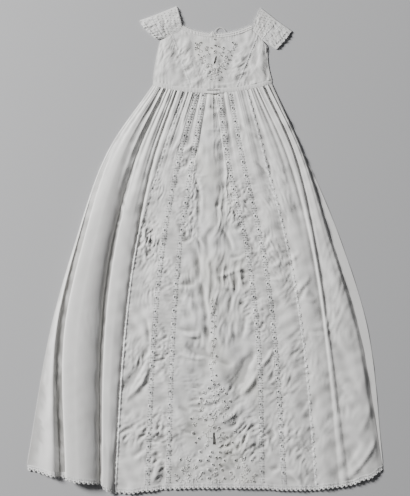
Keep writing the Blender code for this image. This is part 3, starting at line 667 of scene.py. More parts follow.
class SkirtFront(Front):
    """The skirt's front: fold lines, gathers, long pleats, creases and puckers on one surface."""

    # Each set of gathers: its pitch at the waist, its height, how far down it reaches, how much it wanders
    GATHER_WAVES = ((4.1, 1.0, 0.08, 1.7, 13.0), (6.3, 1.3, 0.13, 1.3, 23.0), (11.5, 0.8, 0.26, 1.0, 39.0))
    # Between these two x at the waist, where the cloth is stiffer, they are lower
    STIFF_LEFT, STIFF_RIGHT, STIFF_GATHERS = -44.0, 90.0, 0.6

    # Seams that pucker, and bands of insertion, counted in fold lines
    SEAMS = (7, 9, 10, 11, 12, 16, 17, 18, 19, 21)
    BANDS = (9, 11, 16, 18)
    PUCKER_LENGTH, PUCKER_REACH, PUCKER_HEIGHT = 10.5, 6.0, 0.45

    # Where the cloth passes under a roll's edge: shares of the way across and up at five places
    TUCKS = (1, 3)
    TUCK_PLACES = (0.0, 0.12, 0.24, 0.42, 1.0)
    TUCK_ACROSS_UP = ((0.0, 0.52, 0.34, 0.42, 1.0), (0.0, 0.02, 0.60, 0.90, 1.0))
    ROLLS = (2, 4)
    UNDER_LAYER_RISE = 9.5

    # How far the cloth puffs up over its fold lines, and the sunk place under the waistband's middle
    PUFF = 1.7
    SUNK = (20.0, 327.0, 19.0, 5.0, 4.4)

    # The shares of the way down between which the rolls take their form
    FORMS_FROM, FORMS_WITHIN = 0.12, 0.3

    def __init__(self, folds: Sequence[FoldLine]) -> None:
        crumple = Crumple(seed=11, waves=26, shortest=22.0, longest=120.0, height=2.0)
        creases, wrinkles = Creases(SKIRT_CREASES, most=0.6), Wrinkles(SKIRT_PATCHES, seed=40)
        super().__init__(folds, crumple, creases, wrinkles)
        self.across = np.array([line.across for line in folds], float)
        self.heights = np.array([line.heights for line in folds], float)
        self.hem_y = np.array([line.hem_y for line in folds], float)

    def _sides(self, table: Array, stations: Sequence[float], u: Array, t: Array) -> tuple[Array, ...]:
        """A table's value on the line at the left of each place and at its right, and the share between."""
        values = through(stations, table, np.clip(t, 0.0, 1.0))
        k, f = self.cell(u)
        column = np.arange(u.size)
        return values[k, column], values[k + 1, column], f

    def formed(self, t: Array) -> Array:
        """How far the rolls have taken their form, 0 to 1."""
        return smooth(np.clip((t - self.FORMS_FROM) / self.FORMS_WITHIN, 0.0, 1.0))

    def ends(self, u: Array) -> tuple[Array, Array]:
        """The y of the waist seam and of the hem seam at place u."""
        k, f = self.cell(u)
        top_x = self.across[k, 0] * (1 - f) + self.across[k + 1, 0] * f
        top = waist_y(top_x) - WAIST_SEAM
        bottom = self.hem_y[k] + (self.hem_y[k + 1] - self.hem_y[k]) * smooth(f) + HEM_SEAM
        return top, bottom

    def _tuck(self, u: Array, t: Array, f: Array) -> tuple[Array, Array, Array]:
        """Shares of the way across and up where the cloth is tucked, and how far each tuck has opened."""
        across, up = through(self.TUCK_PLACES, np.array(self.TUCK_ACROSS_UP), f)
        opened = np.isin(u.astype(int), self.TUCKS) * self.formed(t)
        return across, up, opened

    def plan(self, u: Array, t: Array) -> tuple[Array, Array]:
        """The plan point of place u and share t."""
        a, b, f = self._sides(self.across, ACROSS_STATIONS, u, t)
        across, _, opened = self._tuck(u, t, f)
        top, bottom = self.ends(u)
        return a + (b - a) * (f + (across - f) * opened), top + (bottom - top) * t

    def relief(self, u: Array, t: Array, x: Array, y: Array) -> Array:
        """Everything that the fold lines don't give: gathers, pleats, creases, puckers and crumple."""
        k, f = self.cell(u)
        waist = self.across[k, 0] * (1 - f) + self.across[k + 1, 0] * f
        inside = (waist > self.STIFF_LEFT) & (waist < self.STIFF_RIGHT)
        strength = np.where(inside, self.STIFF_GATHERS, 1.0)
        total = np.zeros_like(x)
        for length, height, reach, wander, spread in self.GATHER_WAVES:
            phase = math.pi * waist / length + wander * np.sin(math.tau * waist / spread + length)
            ridge = 1.35 * np.abs(np.sin(phase)) ** 0.65 - 0.85
            total += strength * height * ridge * np.exp(-np.clip(t, 0, 1) / reach)
        for pleat in PLEATS:
            near = np.abs(u - pleat.u) < 1.6
            if not near.any():
                continue
            middle, _ = self.plan(np.full(near.sum(), pleat.u), t[near])
            share = np.clip((t[near] - pleat.t0) / (pleat.t1 - pleat.t0), 0.0, 1.0)
            width = pleat.width * (0.62 + 1.5 * share)
            bell = np.exp(-(((x[near] - middle) / width) ** 2))
            total[near] += pleat.depth * bell * (1.0 - smooth(share))
        below = np.clip(4.0 * t - 0.1, 0.0, 1.0)
        small = self.creases.height(x, y) + self.wrinkles.height(x, y) * (0.25 + 0.75 * below)
        for seam in self.SEAMS:
            near = np.abs(u - seam) < 2.0
            middle, _ = self.plan(np.full(near.sum(), float(seam)), t[near])
            away = np.abs(x[near] - middle)
            wave = np.sin(math.tau * y[near] / self.PUCKER_LENGTH + 2.6 * np.sin(y[near] / 23.0) + seam)
            small[near] += self.PUCKER_HEIGHT * wave * np.exp(-away / self.PUCKER_REACH) * below[near]
        stiff = np.ones_like(x)
        for band in self.BANDS:
            off = np.abs(u - band - 0.5) - 0.5
            stiff *= 0.5 + 0.5 * smooth(np.clip(off / 0.25, 0.0, 1.0))
        return total + small * stiff + self.crumple.height(x, y)

    def height(self, u: Array, t: Array, x: Array, y: Array) -> Array:
        """The cloth's middle height, brought down to the back breadth at the two side edges."""
        a, b, f = self._sides(self.heights, HEIGHT_STATIONS, u, t)
        _, up, opened = self._tuck(u, t, f)
        base = rounded(a, b, f)
        base += (a + (b - a) * up - base) * opened
        formed = self.formed(t)
        big, small = (u.astype(int) == k for k in self.ROLLS)
        base += (b + (a - b) * np.cos(0.5 * math.pi * f) ** 0.55 - base) * big * formed
        base += (b + (a - b) * (1.0 - 0.66 * f**1.3 - 0.34 * f**7) - base) * small * formed
        under_layer = self.UNDER_LAYER_RISE * np.sin(math.pi * np.clip(u, 0.0, 1.0) ** 3.4)
        base += under_layer * np.clip(1.6 * t - 0.4, 0.0, 1.0)
        edge = np.minimum(u / 0.35, (self.last - u) / 0.35)
        inset = smooth(np.clip(edge, 0.0, 1.0))
        puff = self.PUFF * smooth(np.clip(u - 5.0, 0.0, 1.0)) * smooth(np.clip(t / 0.08, 0.0, 1.0))
        puff *= np.clip((1.0 - t) / 0.05, 0.35, 1.0)
        base += puff * inset * np.clip((12.0 - base) / 6.0, 0.0, 1.0)
        sunk_x, sunk_y, wide, high, deep = self.SUNK
        base -= deep * np.exp(-(((x - sunk_x) / wide) ** 2) - ((y - sunk_y) / high) ** 2)
        rolled = 1.0 - 0.8 * np.clip((base - 6.0) / 4.0, 0.0, 1.0)
        z = base + self.relief(u, t, x, y) * inset * rolled
        return SIDE_EDGE_Z + (soft_floor(z, FRONT_LOW_Z) - SIDE_EDGE_Z) * (0.25 + 0.75 * inset) * (edge > 0)

    def locate(self, x: Array, y: Array) -> tuple[Array, Array]:
        """Finds the place u and share t of plan points by repeated correction."""
        t = np.clip((333.0 - y) / 830.0, 0.0, 1.0)
        u = np.zeros_like(x)
        column = np.arange(x.size)
        for _ in range(5):
            lines = through(ACROSS_STATIONS, self.across, np.clip(t, 0.0, 1.0))
            k = np.clip((lines <= x).sum(axis=0) - 1, 0, self.last - 1)
            a, b = lines[k, column], lines[k + 1, column]
            u = k + np.clip((x - a) / (b - a), 0.0, 1.0)
            top, bottom = self.ends(u)
            t = (top - y) / (top - bottom)
        return u, np.clip(t, 0.0, 1.0)


class BodiceFront(Front):
    """The bodice's front between the waistband and the neckband or armhole seams."""

    # How much of its puff the cloth keeps where it is sewn to the bands
    EDGE_PUFF = 0.35

    # The armhole seams' lower ends
    ARMHOLE_LEFT, ARMHOLE_RIGHT = (-94.0, 438.0), (132.0, 425.0)

    def __init__(self, lines: Sequence[BodiceLine]) -> None:
        crumple = Crumple(seed=5, waves=22, shortest=12.0, longest=60.0, height=1.2)
        creases, wrinkles = Creases(BODICE_CREASES, most=0.24), Wrinkles(BODICE_PATCHES, seed=60)
        super().__init__(lines, crumple, creases, wrinkles)
        self.waist = np.array([line.waist for line in lines], float)
        self.top = np.array([line.top for line in lines], float)
        self.bow = np.array([line.bow for line in lines], float)
        self.z = np.array([line.z for line in lines], float)

    def _mix(self, table: Array, u: Array) -> Array:
        return np.interp(u, np.arange(self.last + 1), table)

    def top_y(self, x: Array) -> Array:
        """The upper edge: under the neckband in the middle, along the armhole seams at the sides."""
        seams = []
        for corner, (foot_x, foot_y) in ((NECK_LEFT, self.ARMHOLE_LEFT), (NECK_RIGHT, self.ARMHOLE_RIGHT)):
            rise = neck_y(np.array(corner)) - NECK_SEAM - foot_y
            seams.append(foot_y + (x - foot_x) / (corner - foot_x) * rise)
        return np.where(x < NECK_LEFT, seams[0], np.where(x > NECK_RIGHT, seams[1], neck_y(x) - NECK_SEAM))

    def plan(self, u: Array, q: Array) -> tuple[Array, Array]:
        """The plan point of place u and share q from the waist to the top."""
        waist_x, top_x = self._mix(self.waist, u), self._mix(self.top, u)
        x = waist_x + (top_x - waist_x) * q + self._mix(self.bow, u) * 4.0 * q * (1.0 - q)
        low, high = waist_y(waist_x), self.top_y(top_x)
        return x, low + (high - low) * q

    def height(self, u: Array, q: Array, x: Array, y: Array) -> Array:
        """The cloth's middle height with its creases, low where it is sewn to the bands."""
        k, f = self.cell(u)
        z = rounded(self.z[k], self.z[k + 1], f)
        puff = self.EDGE_PUFF + (1.0 - self.EDGE_PUFF) * np.sin(math.pi * np.clip(q, 0.0, 1.0))
        base = np.minimum(z, BAND_Z) + (z - np.minimum(z, BAND_Z)) * puff
        near_waist = np.exp(-np.clip(q, 0.0, 1.0) / 0.07)
        near_neck = np.exp(-(1.0 - np.clip(q, 0.0, 1.0)) / 0.05)
        waist_wave = np.sin(x * math.tau / 9.3 + 2.9 * np.sin(x / 13.0))
        neck_wave = np.sin(x * math.tau / 7.1 + 3.1 * np.sin(x / 9.0))
        puckers = 0.5 * waist_wave * np.sin(x / 19.0) * near_waist
        puckers += 0.3 * neck_wave * np.sin(x / 15.0 + 1.0) * near_neck
        edge = np.minimum(u, self.last - u) / 0.25
        inset = smooth(np.clip(edge, 0.0, 1.0))
        relief = self.creases.height(x, y) + self.wrinkles.height(x, y) + self.crumple.height(x, y) + puckers
        z = soft_floor(base + relief * inset, FRONT_LOW_Z)
        return SIDE_EDGE_Z + (z - SIDE_EDGE_Z) * (0.25 + 0.75 * inset)

    def locate(self, x: Array, y: Array) -> tuple[Array, Array]:
        """Finds the place u and share q of plan points by repeated correction."""
        q = np.clip((y - 340.0) / 110.0, 0.0, 1.0)
        u = np.zeros_like(x)
        column = np.arange(x.size)
        for _ in range(6):
            lines = self.waist[:, None] + (self.top - self.waist)[:, None] * q
            lines = lines + self.bow[:, None] * 4.0 * q * (1.0 - q)
            k = np.clip((lines <= x).sum(axis=0) - 1, 0, self.last - 1)
            a, b = lines[k, column], lines[k + 1, column]
            u = k + np.clip((x - a) / (b - a), 0.0, 1.0)
            low, high = waist_y(self._mix(self.waist, u)), self.top_y(self._mix(self.top, u))
            q = np.clip((y - low) / (high - low), 0.0, 1.0)
        return u, q


@dataclass(frozen=True)
class Eyelet:
    """A round hole with a whipped edge, let into a block of grid cells.

    Attributes:
        wide: how many columns of cells its block takes.
        high: how many rows of cells its block takes.
        radius: the hole's radius in millimetres.
        cord: width of the whipped edge round the hole.
        raised: how far that edge stands up.
    """

    wide: int
    high: int
    radius: float
    cord: float
    raised: float


@dataclass
class MeshParts:
    """Vertices in millimetres, the quads and triangles that index them, and how hollow each vertex lies."""

    points: Array
    quads: Array
    triangles: Array
    # How hollow each vertex lies: the mask for the shade painted into the cloth's base colour
    hollow: Optional[Array] = None

    @staticmethod
    def joined(parts: Sequence["MeshParts"]) -> "MeshParts":
        """Several parts as one, each with its own vertices."""
        points, quads, triangles, start = [], [], [], 0
        for part in parts:
            points.append(part.points)
            quads.append(part.quads + start)
            triangles.append(part.triangles + start)
            start += len(part.points)
        return MeshParts(np.concatenate(points), np.concatenate(quads), np.concatenate(triangles))


NO_TRIANGLES = np.zeros((0, 3), int)


def running_mean(values: Array, half: int, axis: int) -> Array:
    """The mean of each value and of half as many neighbours on each side of it along an axis."""
    padded = np.pad(values, [(half + 1, half) if side == axis else (0, 0) for side in range(2)], mode="edge")
    total = np.moveaxis(np.cumsum(padded, axis=axis), axis, 0)
    window = 2 * half + 1
    return np.moveaxis((total[window:] - total[:-window]) / window, 0, axis)


class ClothGrid:
    """A grid of cloth, columns by rows, whose cells can hold eyelets."""

    # For the shade painted into the folds: how far round a point the mean height is taken, and the depth at
    # which a hollow counts as full
    HOLLOW_REACH, HOLLOW_DEPTH = 12.0, 3.0

    # A slit narrower than this to each side of its middle line stays closed
    SLIT_LEAST = 0.3

    # The greatest reach of an eyelet as a share of its block's shorter side
    EYELET_FIT = 0.46

    def __init__(self, points: Array) -> None:
        """
        Args:
            points: columns by rows by x, y, z, in millimetres.
        """
        self.points = points
        self.columns, self.rows = points.shape[:2]
        self.kept = np.ones((self.columns - 1, self.rows - 1), bool)
        self.eyelets: list[MeshParts] = []
        across = points[-1, self.rows // 8] - points[0, self.rows // 8]
        down = points[self.columns // 2, self.rows // 4] - points[self.columns // 2, 0]
        self.clockwise = np.cross(across, down)[2] < 0

    def _corner(self, column: Array, row: Array) -> Array:
        return column * self.rows + row

    def cells(self, x: Array, y: Array) -> tuple[Array, Array]:
        """The column and row of the grid point nearest to each plan point."""
        flat = self.points[..., :2].reshape(-1, 2)
        dx = flat[:, 0] - np.asarray(x, float)[:, None]
        dy = flat[:, 1] - np.asarray(y, float)[:, None]
        return np.divmod((dx**2 + dy**2).argmin(axis=1), self.rows)

    def cut(self, x: float, y: float, length: float, width: float, turn: float) -> None:
        """Opens an oval slit: leaves out the cells whose middles lie in it and draws its rim smooth.

        A point in the oval's outer part moves out along its own direction from the slit's middle line, so
        the cells that stay end on the oval.
        """
        angle = math.radians(turn)
        dx, dy = self.points[..., 0] - x, self.points[..., 1] - y
        across = dx * math.cos(angle) + dy * math.sin(angle)
        along = dy * math.cos(angle) - dx * math.sin(angle)
        half = 0.5 * width * np.sqrt(np.clip(1.0 - (2.0 * along / length) ** 2, 0.0, 1.0))
        inside = (np.abs(across) < half) & (half > self.SLIT_LEAST)
        push = np.where(inside, np.sign(across) * half - across, 0.0)
        self.points[..., 0] += push * math.cos(angle)
        self.points[..., 1] += push * math.sin(angle)
        middle = 0.25 * (across[1:, 1:] + across[:-1, 1:] + across[1:, :-1] + across[:-1, :-1])
        reach = 0.25 * (half[1:, 1:] + half[:-1, 1:] + half[1:, :-1] + half[:-1, :-1])
        self.kept[(np.abs(middle) < reach) & (reach > self.SLIT_LEAST)] = False

    def _free(self, column: Array, row: Array, wide: int, high: int) -> tuple[Array, Array]:
        """Takes the blocks that fit and aren't taken yet out of the plain cloth."""
        inside = (column >= 0) & (row >= 0) & (column + wide < self.columns) & (row + high < self.rows)
        chosen = []
        for c, r in zip(column[inside], row[inside]):
            block = self.kept[c : c + wide, r : r + high]
            if block.all():
                block[:] = False
                chosen.append((c, r))
        blocks = np.array(chosen, int).reshape(-1, 2)
        return blocks[:, 0], blocks[:, 1]

    def pierce(self, column: Array, row: Array, eyelet: Eyelet) -> None:
        """Lets the same eyelet into many blocks of cells.

        Each block's outline is joined to a circle by triangles, and that circle runs inwards over a
        raised ring to the hole: radius plus cord, radius plus half the cord and lifted, then the radius.

        Args:
            column: first column of each block.
            row: first row of each block.
            eyelet: its size.
        """
        wide, high = eyelet.wide, eyelet.high
        column, row = self._free(*np.broadcast_arrays(np.atleast_1d(column), np.atleast_1d(row)), wide, high)
        if not column.size:
            return
        i, j = np.arange(wide), np.arange(high)
        around_c = np.concatenate((i, np.full(high, wide), wide - i, np.zeros(high, int)))
        around_r = np.concatenate((np.zeros(wide, int), j, np.full(wide, high), high - j))
        rim = self._corner(column[:, None] + around_c, row[:, None] + around_r)

        flat = self.points.reshape(-1, 3)
        first, right = flat[self._corner(column, row)], flat[self._corner(column + wide, row)]
        low, far = flat[self._corner(column, row + high)], flat[self._corner(column + wide, row + high)]
        centre = (first + right + low + far) / 4
        side, down = (right + far - first - low) / 2, (low + far - first - right) / 2
        across = side / np.linalg.norm(side, axis=1)[:, None]
        normal = np.cross(across, down)
        normal /= np.linalg.norm(normal, axis=1)[:, None] * (-1 if self.clockwise else 1)
        along = down - (down * across).sum(axis=1)[:, None] * across
        along /= np.linalg.norm(along, axis=1)[:, None]
        fit = np.minimum(np.linalg.norm(side, axis=1), np.linalg.norm(down, axis=1)) * self.EYELET_FIT
        radius = np.minimum(eyelet.radius, fit - 0.35 * eyelet.cord)

        square = np.stack((around_c / wide, around_r / high), axis=1) - 0.5
        ring = np.empty((2 * len(square), 2))
        ring[0::2], ring[1::2] = square, 0.5 * (square + np.roll(square, -1, axis=0))
        ring /= np.linalg.norm(ring, axis=1)[:, None]
        levels = []
        for out, up in ((1.0, 0.0), (0.5, 1.0), (0.0, 0.35)):
            reach = np.minimum(radius + eyelet.cord * out, fit)[:, None, None]
            spot = centre + normal * eyelet.raised * up
            turned = ring[None, :, :1] * across[:, None, :] + ring[None, :, 1:] * along[:, None, :]
            levels.append(spot[:, None, :] + reach * turned)
        count, turn = len(column), len(ring)
        base = self.columns * self.rows + sum(len(part.points) for part in self.eyelets)
        start = base + np.arange(count)[:, None] * (3 * turn)
        here, then = np.arange(turn), np.roll(np.arange(turn), -1)
        steps = []
        for low_ring in (start, start + turn):
            high_ring = low_ring + turn
            corners_of = (low_ring + here, low_ring + then, high_ring + then, high_ring + here)
            steps.append(np.stack(corners_of, axis=-1))
        quads = np.concatenate(steps, axis=1).reshape(-1, 4)
        even = np.arange(len(square)) * 2
        r0, r1, r2 = start + even, start + even + 1, start + (even + 2) % turn
        p0, p1 = rim, np.roll(rim, -1, axis=1)
        trios = ((p0, r1, r0), (p0, p1, r1), (p1, r2, r1))
        triangles = np.concatenate([np.stack(trio, axis=-1).reshape(-1, 3) for trio in trios])
        if self.clockwise:
            quads, triangles = quads[:, ::-1], triangles[:, ::-1]
        self.eyelets.append(MeshParts(np.stack(levels, axis=1).reshape(-1, 3), quads, triangles))

    def shade_hollows(self) -> Array:
        """How hollow each grid point lies, 0 to 1, as the mask for the shade painted into the cloth's folds.

        It is the mean height within reach on each side, first across and then down the grid, less the
        point's own height, as a share of the depth at which a hollow counts as full.
        """
        mean = self.points[..., 2]
        for axis in (0, 1):
            step = np.linalg.norm(np.diff(self.points, axis=axis), axis=-1).mean()
            mean = running_mean(mean, max(1, int(round(self.HOLLOW_REACH / step))), axis)
        return np.clip((mean - self.points[..., 2]) / self.HOLLOW_DEPTH, 0.0, 1.0).ravel()

    def parts(self) -> MeshParts:
        """The grid's own cells and its eyelets in one set of arrays, faces upwards."""
        c, r = np.nonzero(self.kept)
        a = self._corner(c, r)
        cells = np.stack((a, a + 1, a + self.rows + 1, a + self.rows), axis=-1)
        if not self.clockwise:
            cells = cells[:, ::-1]
        points = [self.points.reshape(-1, 3)] + [part.points for part in self.eyelets]
        quads = [cells] + [part.quads for part in self.eyelets]
        triangles = [NO_TRIANGLES] + [part.triangles for part in self.eyelets]
        # Grid points get the painted-shade mask; eyelet points get none
        hollow = np.concatenate([self.shade_hollows()] + [np.zeros(len(part.points)) for part in self.eyelets])
        return MeshParts(np.concatenate(points), np.concatenate(quads), np.concatenate(triangles), hollow)


def sheet_grid(surface: Surface, us: Array, vs: Array) -> ClothGrid:
    """A grid of cloth over places us and vs of a surface."""
    u, v = np.meshgrid(us, vs, indexing="ij")
    return ClothGrid(surface(u.ravel(), v.ravel()).reshape(len(us), len(vs), 3))


def tubes(paths: Array, radius: float, sides: int = 6) -> MeshParts:
    """Thin threads along many paths at once.

    Round each path point stand as many points as there are sides, on a circle across the path's own
    direction, and the first and last circles are closed with a fan.

    Args:
        paths: threads by points by x, y, z.
        radius: the threads' radius in millimetres.
        sides: points on each circle.

    Returns:
        Their mesh.
    """
    count, steps = paths.shape[:2]
    run = np.gradient(paths, axis=1)
    run /= np.maximum(np.linalg.norm(run, axis=2), 1e-9)[..., None]
    upright = np.where(np.abs(run[..., 2:]) > 0.9, (1.0, 0.0, 0.0), (0.0, 0.0, 1.0))
    side = np.cross(run, upright)
    side /= np.linalg.norm(side, axis=2)[..., None]
    up = np.cross(side, run)
    angle = np.arange(sides) * math.tau / sides
    rings = paths[:, :, None] + radius * (
        np.cos(angle)[:, None] * side[:, :, None] + np.sin(angle)[:, None] * up[:, :, None]
    )
    start = (np.arange(count) * steps * sides)[:, None, None]
    k = (np.arange(steps - 1) * sides)[None, :, None]
    here, then = np.arange(sides), np.roll(np.arange(sides), -1)
    ring = start + k
    quads = np.stack((ring + here, ring + then, ring + sides + then, ring + sides + here), axis=-1)
    first = np.arange(count) * steps * sides
    last = first + (steps - 1) * sides
    fan = np.arange(1, sides - 1)
    ends = []
    for foot, order in ((first, (fan + 1, fan)), (last, (fan, fan + 1))):
        others = (np.add.outer(foot, f).ravel() for f in order)
        ends.append(np.stack((np.repeat(foot, len(fan)), *others), axis=-1))
    return MeshParts(rings.reshape(-1, 3), quads.reshape(-1, 4)[:, ::-1], np.concatenate(ends)[:, ::-1])


class Stitches:
    """Raised satin stitch and stems, gathered into one mesh on a height field."""

    # An oval's rings as shares of its reach and its height, points on each, and a stem's section
    SATIN = ((1.0, 0.0), (0.82, 0.6), (0.45, 0.93))
    SEGMENTS = 9
    CORD = ((-1.0, 0.0), (-0.5, 0.85), (0.5, 0.85), (1.0, 0.0))

    def __init__(self, lift: Callable[[Array, Array], Array]) -> None:
        """
        Args:
            lift: the height of the cloth's upper face under plan points.
        """
        self.lift = lift
        self.collected: list[MeshParts] = []

    def pads(self, x: Array, y: Array, length: Array, width: Array, turn: Array, height: Array) -> None:
        """Padded satin shapes: ovals with a crowned top, one for each row of the arrays."""
        together = np.broadcast_arrays(x, y, length, width, turn, height)
        x, y, length, width, turn, height = (np.atleast_1d(np.asarray(v, float)) for v in together)
        angle = np.arange(self.SEGMENTS) * math.tau / self.SEGMENTS
        local, up = [], []
        for share, rise in self.SATIN:
            local.append(np.stack((share * np.cos(angle), share * np.sin(angle)), axis=1))
            up.append(np.full(self.SEGMENTS, rise))
        local.append(np.zeros((1, 2)))
        up.append(np.ones(1))
        shape, crown = np.concatenate(local), np.concatenate(up)
        along, across = shape[:, 0] * length[:, None] / 2, shape[:, 1] * width[:, None] / 2
        px = x[:, None] + along * np.cos(turn)[:, None] - across * np.sin(turn)[:, None]
        py = y[:, None] + along * np.sin(turn)[:, None] + across * np.cos(turn)[:, None]
        pz = self.lift(px.ravel(), py.ravel()).reshape(px.shape) + crown * height[:, None]
        n, per = self.SEGMENTS, len(shape)
        here, then = np.arange(n), np.roll(np.arange(n), -1)
        ring = np.stack((here, then, then + n, here + n), axis=1)
        quads = np.concatenate((ring, ring + n))
        cap = np.stack((here + 2 * n, then + 2 * n, np.full(n, 3 * n)), axis=1)
        fan = np.arange(1, n - 1)
        cap = np.concatenate((cap, np.stack((np.zeros(n - 2, int), fan + 1, fan), axis=1)))
        start = (np.arange(len(x)) * per)[:, None, None]
        self.collected.append(
            MeshParts(
                np.stack((px, py, pz), axis=-1).reshape(-1, 3),
                (quads[None] + start).reshape(-1, 4),
                (cap[None] + start).reshape(-1, 3),
            )
        )

    def cord(self, x: Array, y: Array, width: float, height: float) -> None:
        """A raised line of stitching along plan points."""
        path = np.stack((np.asarray(x, float), np.asarray(y, float)), axis=1)
        ahead, behind = np.roll(path, -1, axis=0), np.roll(path, 1, axis=0)
        ahead[-1], behind[0] = path[-1], path[0]
        run = ahead - behind
        run /= np.maximum(np.linalg.norm(run, axis=1), 1e-9)[:, None]
        side = np.stack((-run[:, 1], run[:, 0]), axis=1)
        rows = []
        for out, up in self.CORD:
            p = path + side * out * width / 2
            rows.append(np.column_stack((p, self.lift(p[:, 0], p[:, 1]) + up * height)))
        points = np.concatenate(rows)
        n = len(path)
        here = np.arange(n - 1)
        then = here + 1
        pairs = ((0, 1), (1, 2), (2, 3), (3, 0))
        quads = np.concatenate(
            [np.stack((here + a * n, then + a * n, then + b * n, here + b * n), axis=1) for a, b in pairs]
        )
        self.collected.append(MeshParts(points, quads, NO_TRIANGLES))

    def parts(self) -> MeshParts:
        """All the stitches as one set of arrays."""
        return MeshParts.joined(self.collected)


class Whitework:
    """An embroidered design: raised stitches on the cloth, and the eyelets that are cut into it."""

    LARGE_EYELET = Eyelet(3, 3, 2.0, 0.6, 0.9)
    SMALL_EYELET = Eyelet(2, 2, 1.2, 0.4, 0.6)

    # Raised heights of petals, leaves and stems, a stem's width, and an oval's width as a share of its length
    PETAL_HEIGHT, LEAF_HEIGHT, STEM_HEIGHT, STEM_WIDTH = 1.35, 1.2, 0.8, 1.0
    OVAL = 0.46

    # A petal's length and its middle's distance, as shares of the floret's reach
    PETAL = 0.72

    # A leaf's angle to its stem, its middle's distance and its tip's, as shares of its length
    LEAF_TURN, LEAF_MIDDLE, LEAF_TIP = 0.85, 0.62, 1.35

    def __init__(
        self,
        lift: Callable[[Array, Array], Array],
        florets: Sequence[Floret],
        sprays: Sequence[Spray],
        berries: Sequence[tuple[float, float]],
    ) -> None:
        """
        Args:
            lift: the cloth's height under plan points.
            florets: its flowers.
            sprays: its stems with leaves.
            berries: where single large eyelets go.
        """
        self.stitches = Stitches(lift)
        self.large: list[tuple[float, float]] = []
        self.small: list[tuple[float, float]] = []
        for floret in florets:
            self.floret(floret)
        for spray in sprays:
            self.spray(spray)
        self.large.extend(berries)

    def floret(self, floret: Floret) -> None:
        """Petals that point outwards from an eyelet."""
        angle = np.arange(floret.petals) * math.tau / floret.petals + math.radians(floret.turn)
        away = self.PETAL * floret.reach
        x, y = floret.x + away * np.cos(angle), floret.y + away * np.sin(angle)
        self.stitches.pads(x, y, away, self.OVAL * floret.reach, angle, self.PETAL_HEIGHT)
        self.large.append((floret.x, floret.y))

    def spray(self, spray: Spray) -> None:
        """A stem with leaves in pairs, each pair smaller than the one below it.

        The stem is a straight line plus its bow times the sine of the way along it.
        """
        share = np.linspace(0.0, 1.0, 16)
        dx, dy = spray.x1 - spray.x0, spray.y1 - spray.y0
        sag = spray.bow * np.sin(math.pi * share)
        x, y = spray.x0 + dx * share - dy * sag, spray.y0 + dy * share + dx * sag
        self.stitches.cord(x, y, self.STEM_WIDTH, self.STEM_HEIGHT)
        at = (np.arange(spray.pairs) + 0.8) / (spray.pairs + 0.4)
        heading = np.interp(at, share, np.unwrap(np.arctan2(np.gradient(y), np.gradient(x))))
        leaf = spray.leaf * (1.0 - 0.35 * at)
        foot_x, foot_y = np.interp(at, share, x), np.interp(at, share, y)
        for side in (-self.LEAF_TURN, self.LEAF_TURN):
            turn = heading + side
            away = self.LEAF_MIDDLE * leaf
            x_leaf, y_leaf = foot_x + away * np.cos(turn), foot_y + away * np.sin(turn)
            self.stitches.pads(x_leaf, y_leaf, leaf, self.OVAL * leaf, turn, self.LEAF_HEIGHT)
            tip = self.LEAF_TIP * leaf
            tips = np.column_stack((foot_x + tip * np.cos(turn), foot_y + tip * np.sin(turn)))
            self.small.extend(map(tuple, tips[::2]))
        self.large.append((float(x[-1]), float(y[-1])))

    def pierce(self, grid: ClothGrid) -> None:
        """Cuts the design's eyelets into a grid, wherever there is room for them."""
        for places, eyelet in ((self.large, self.LARGE_EYELET), (self.small, self.SMALL_EYELET)):
            spots = np.array(places, float)
            column, row = grid.cells(spots[:, 0], spots[:, 1])
            grid.pierce(column - eyelet.wide // 2, row - eyelet.high // 2, eyelet)


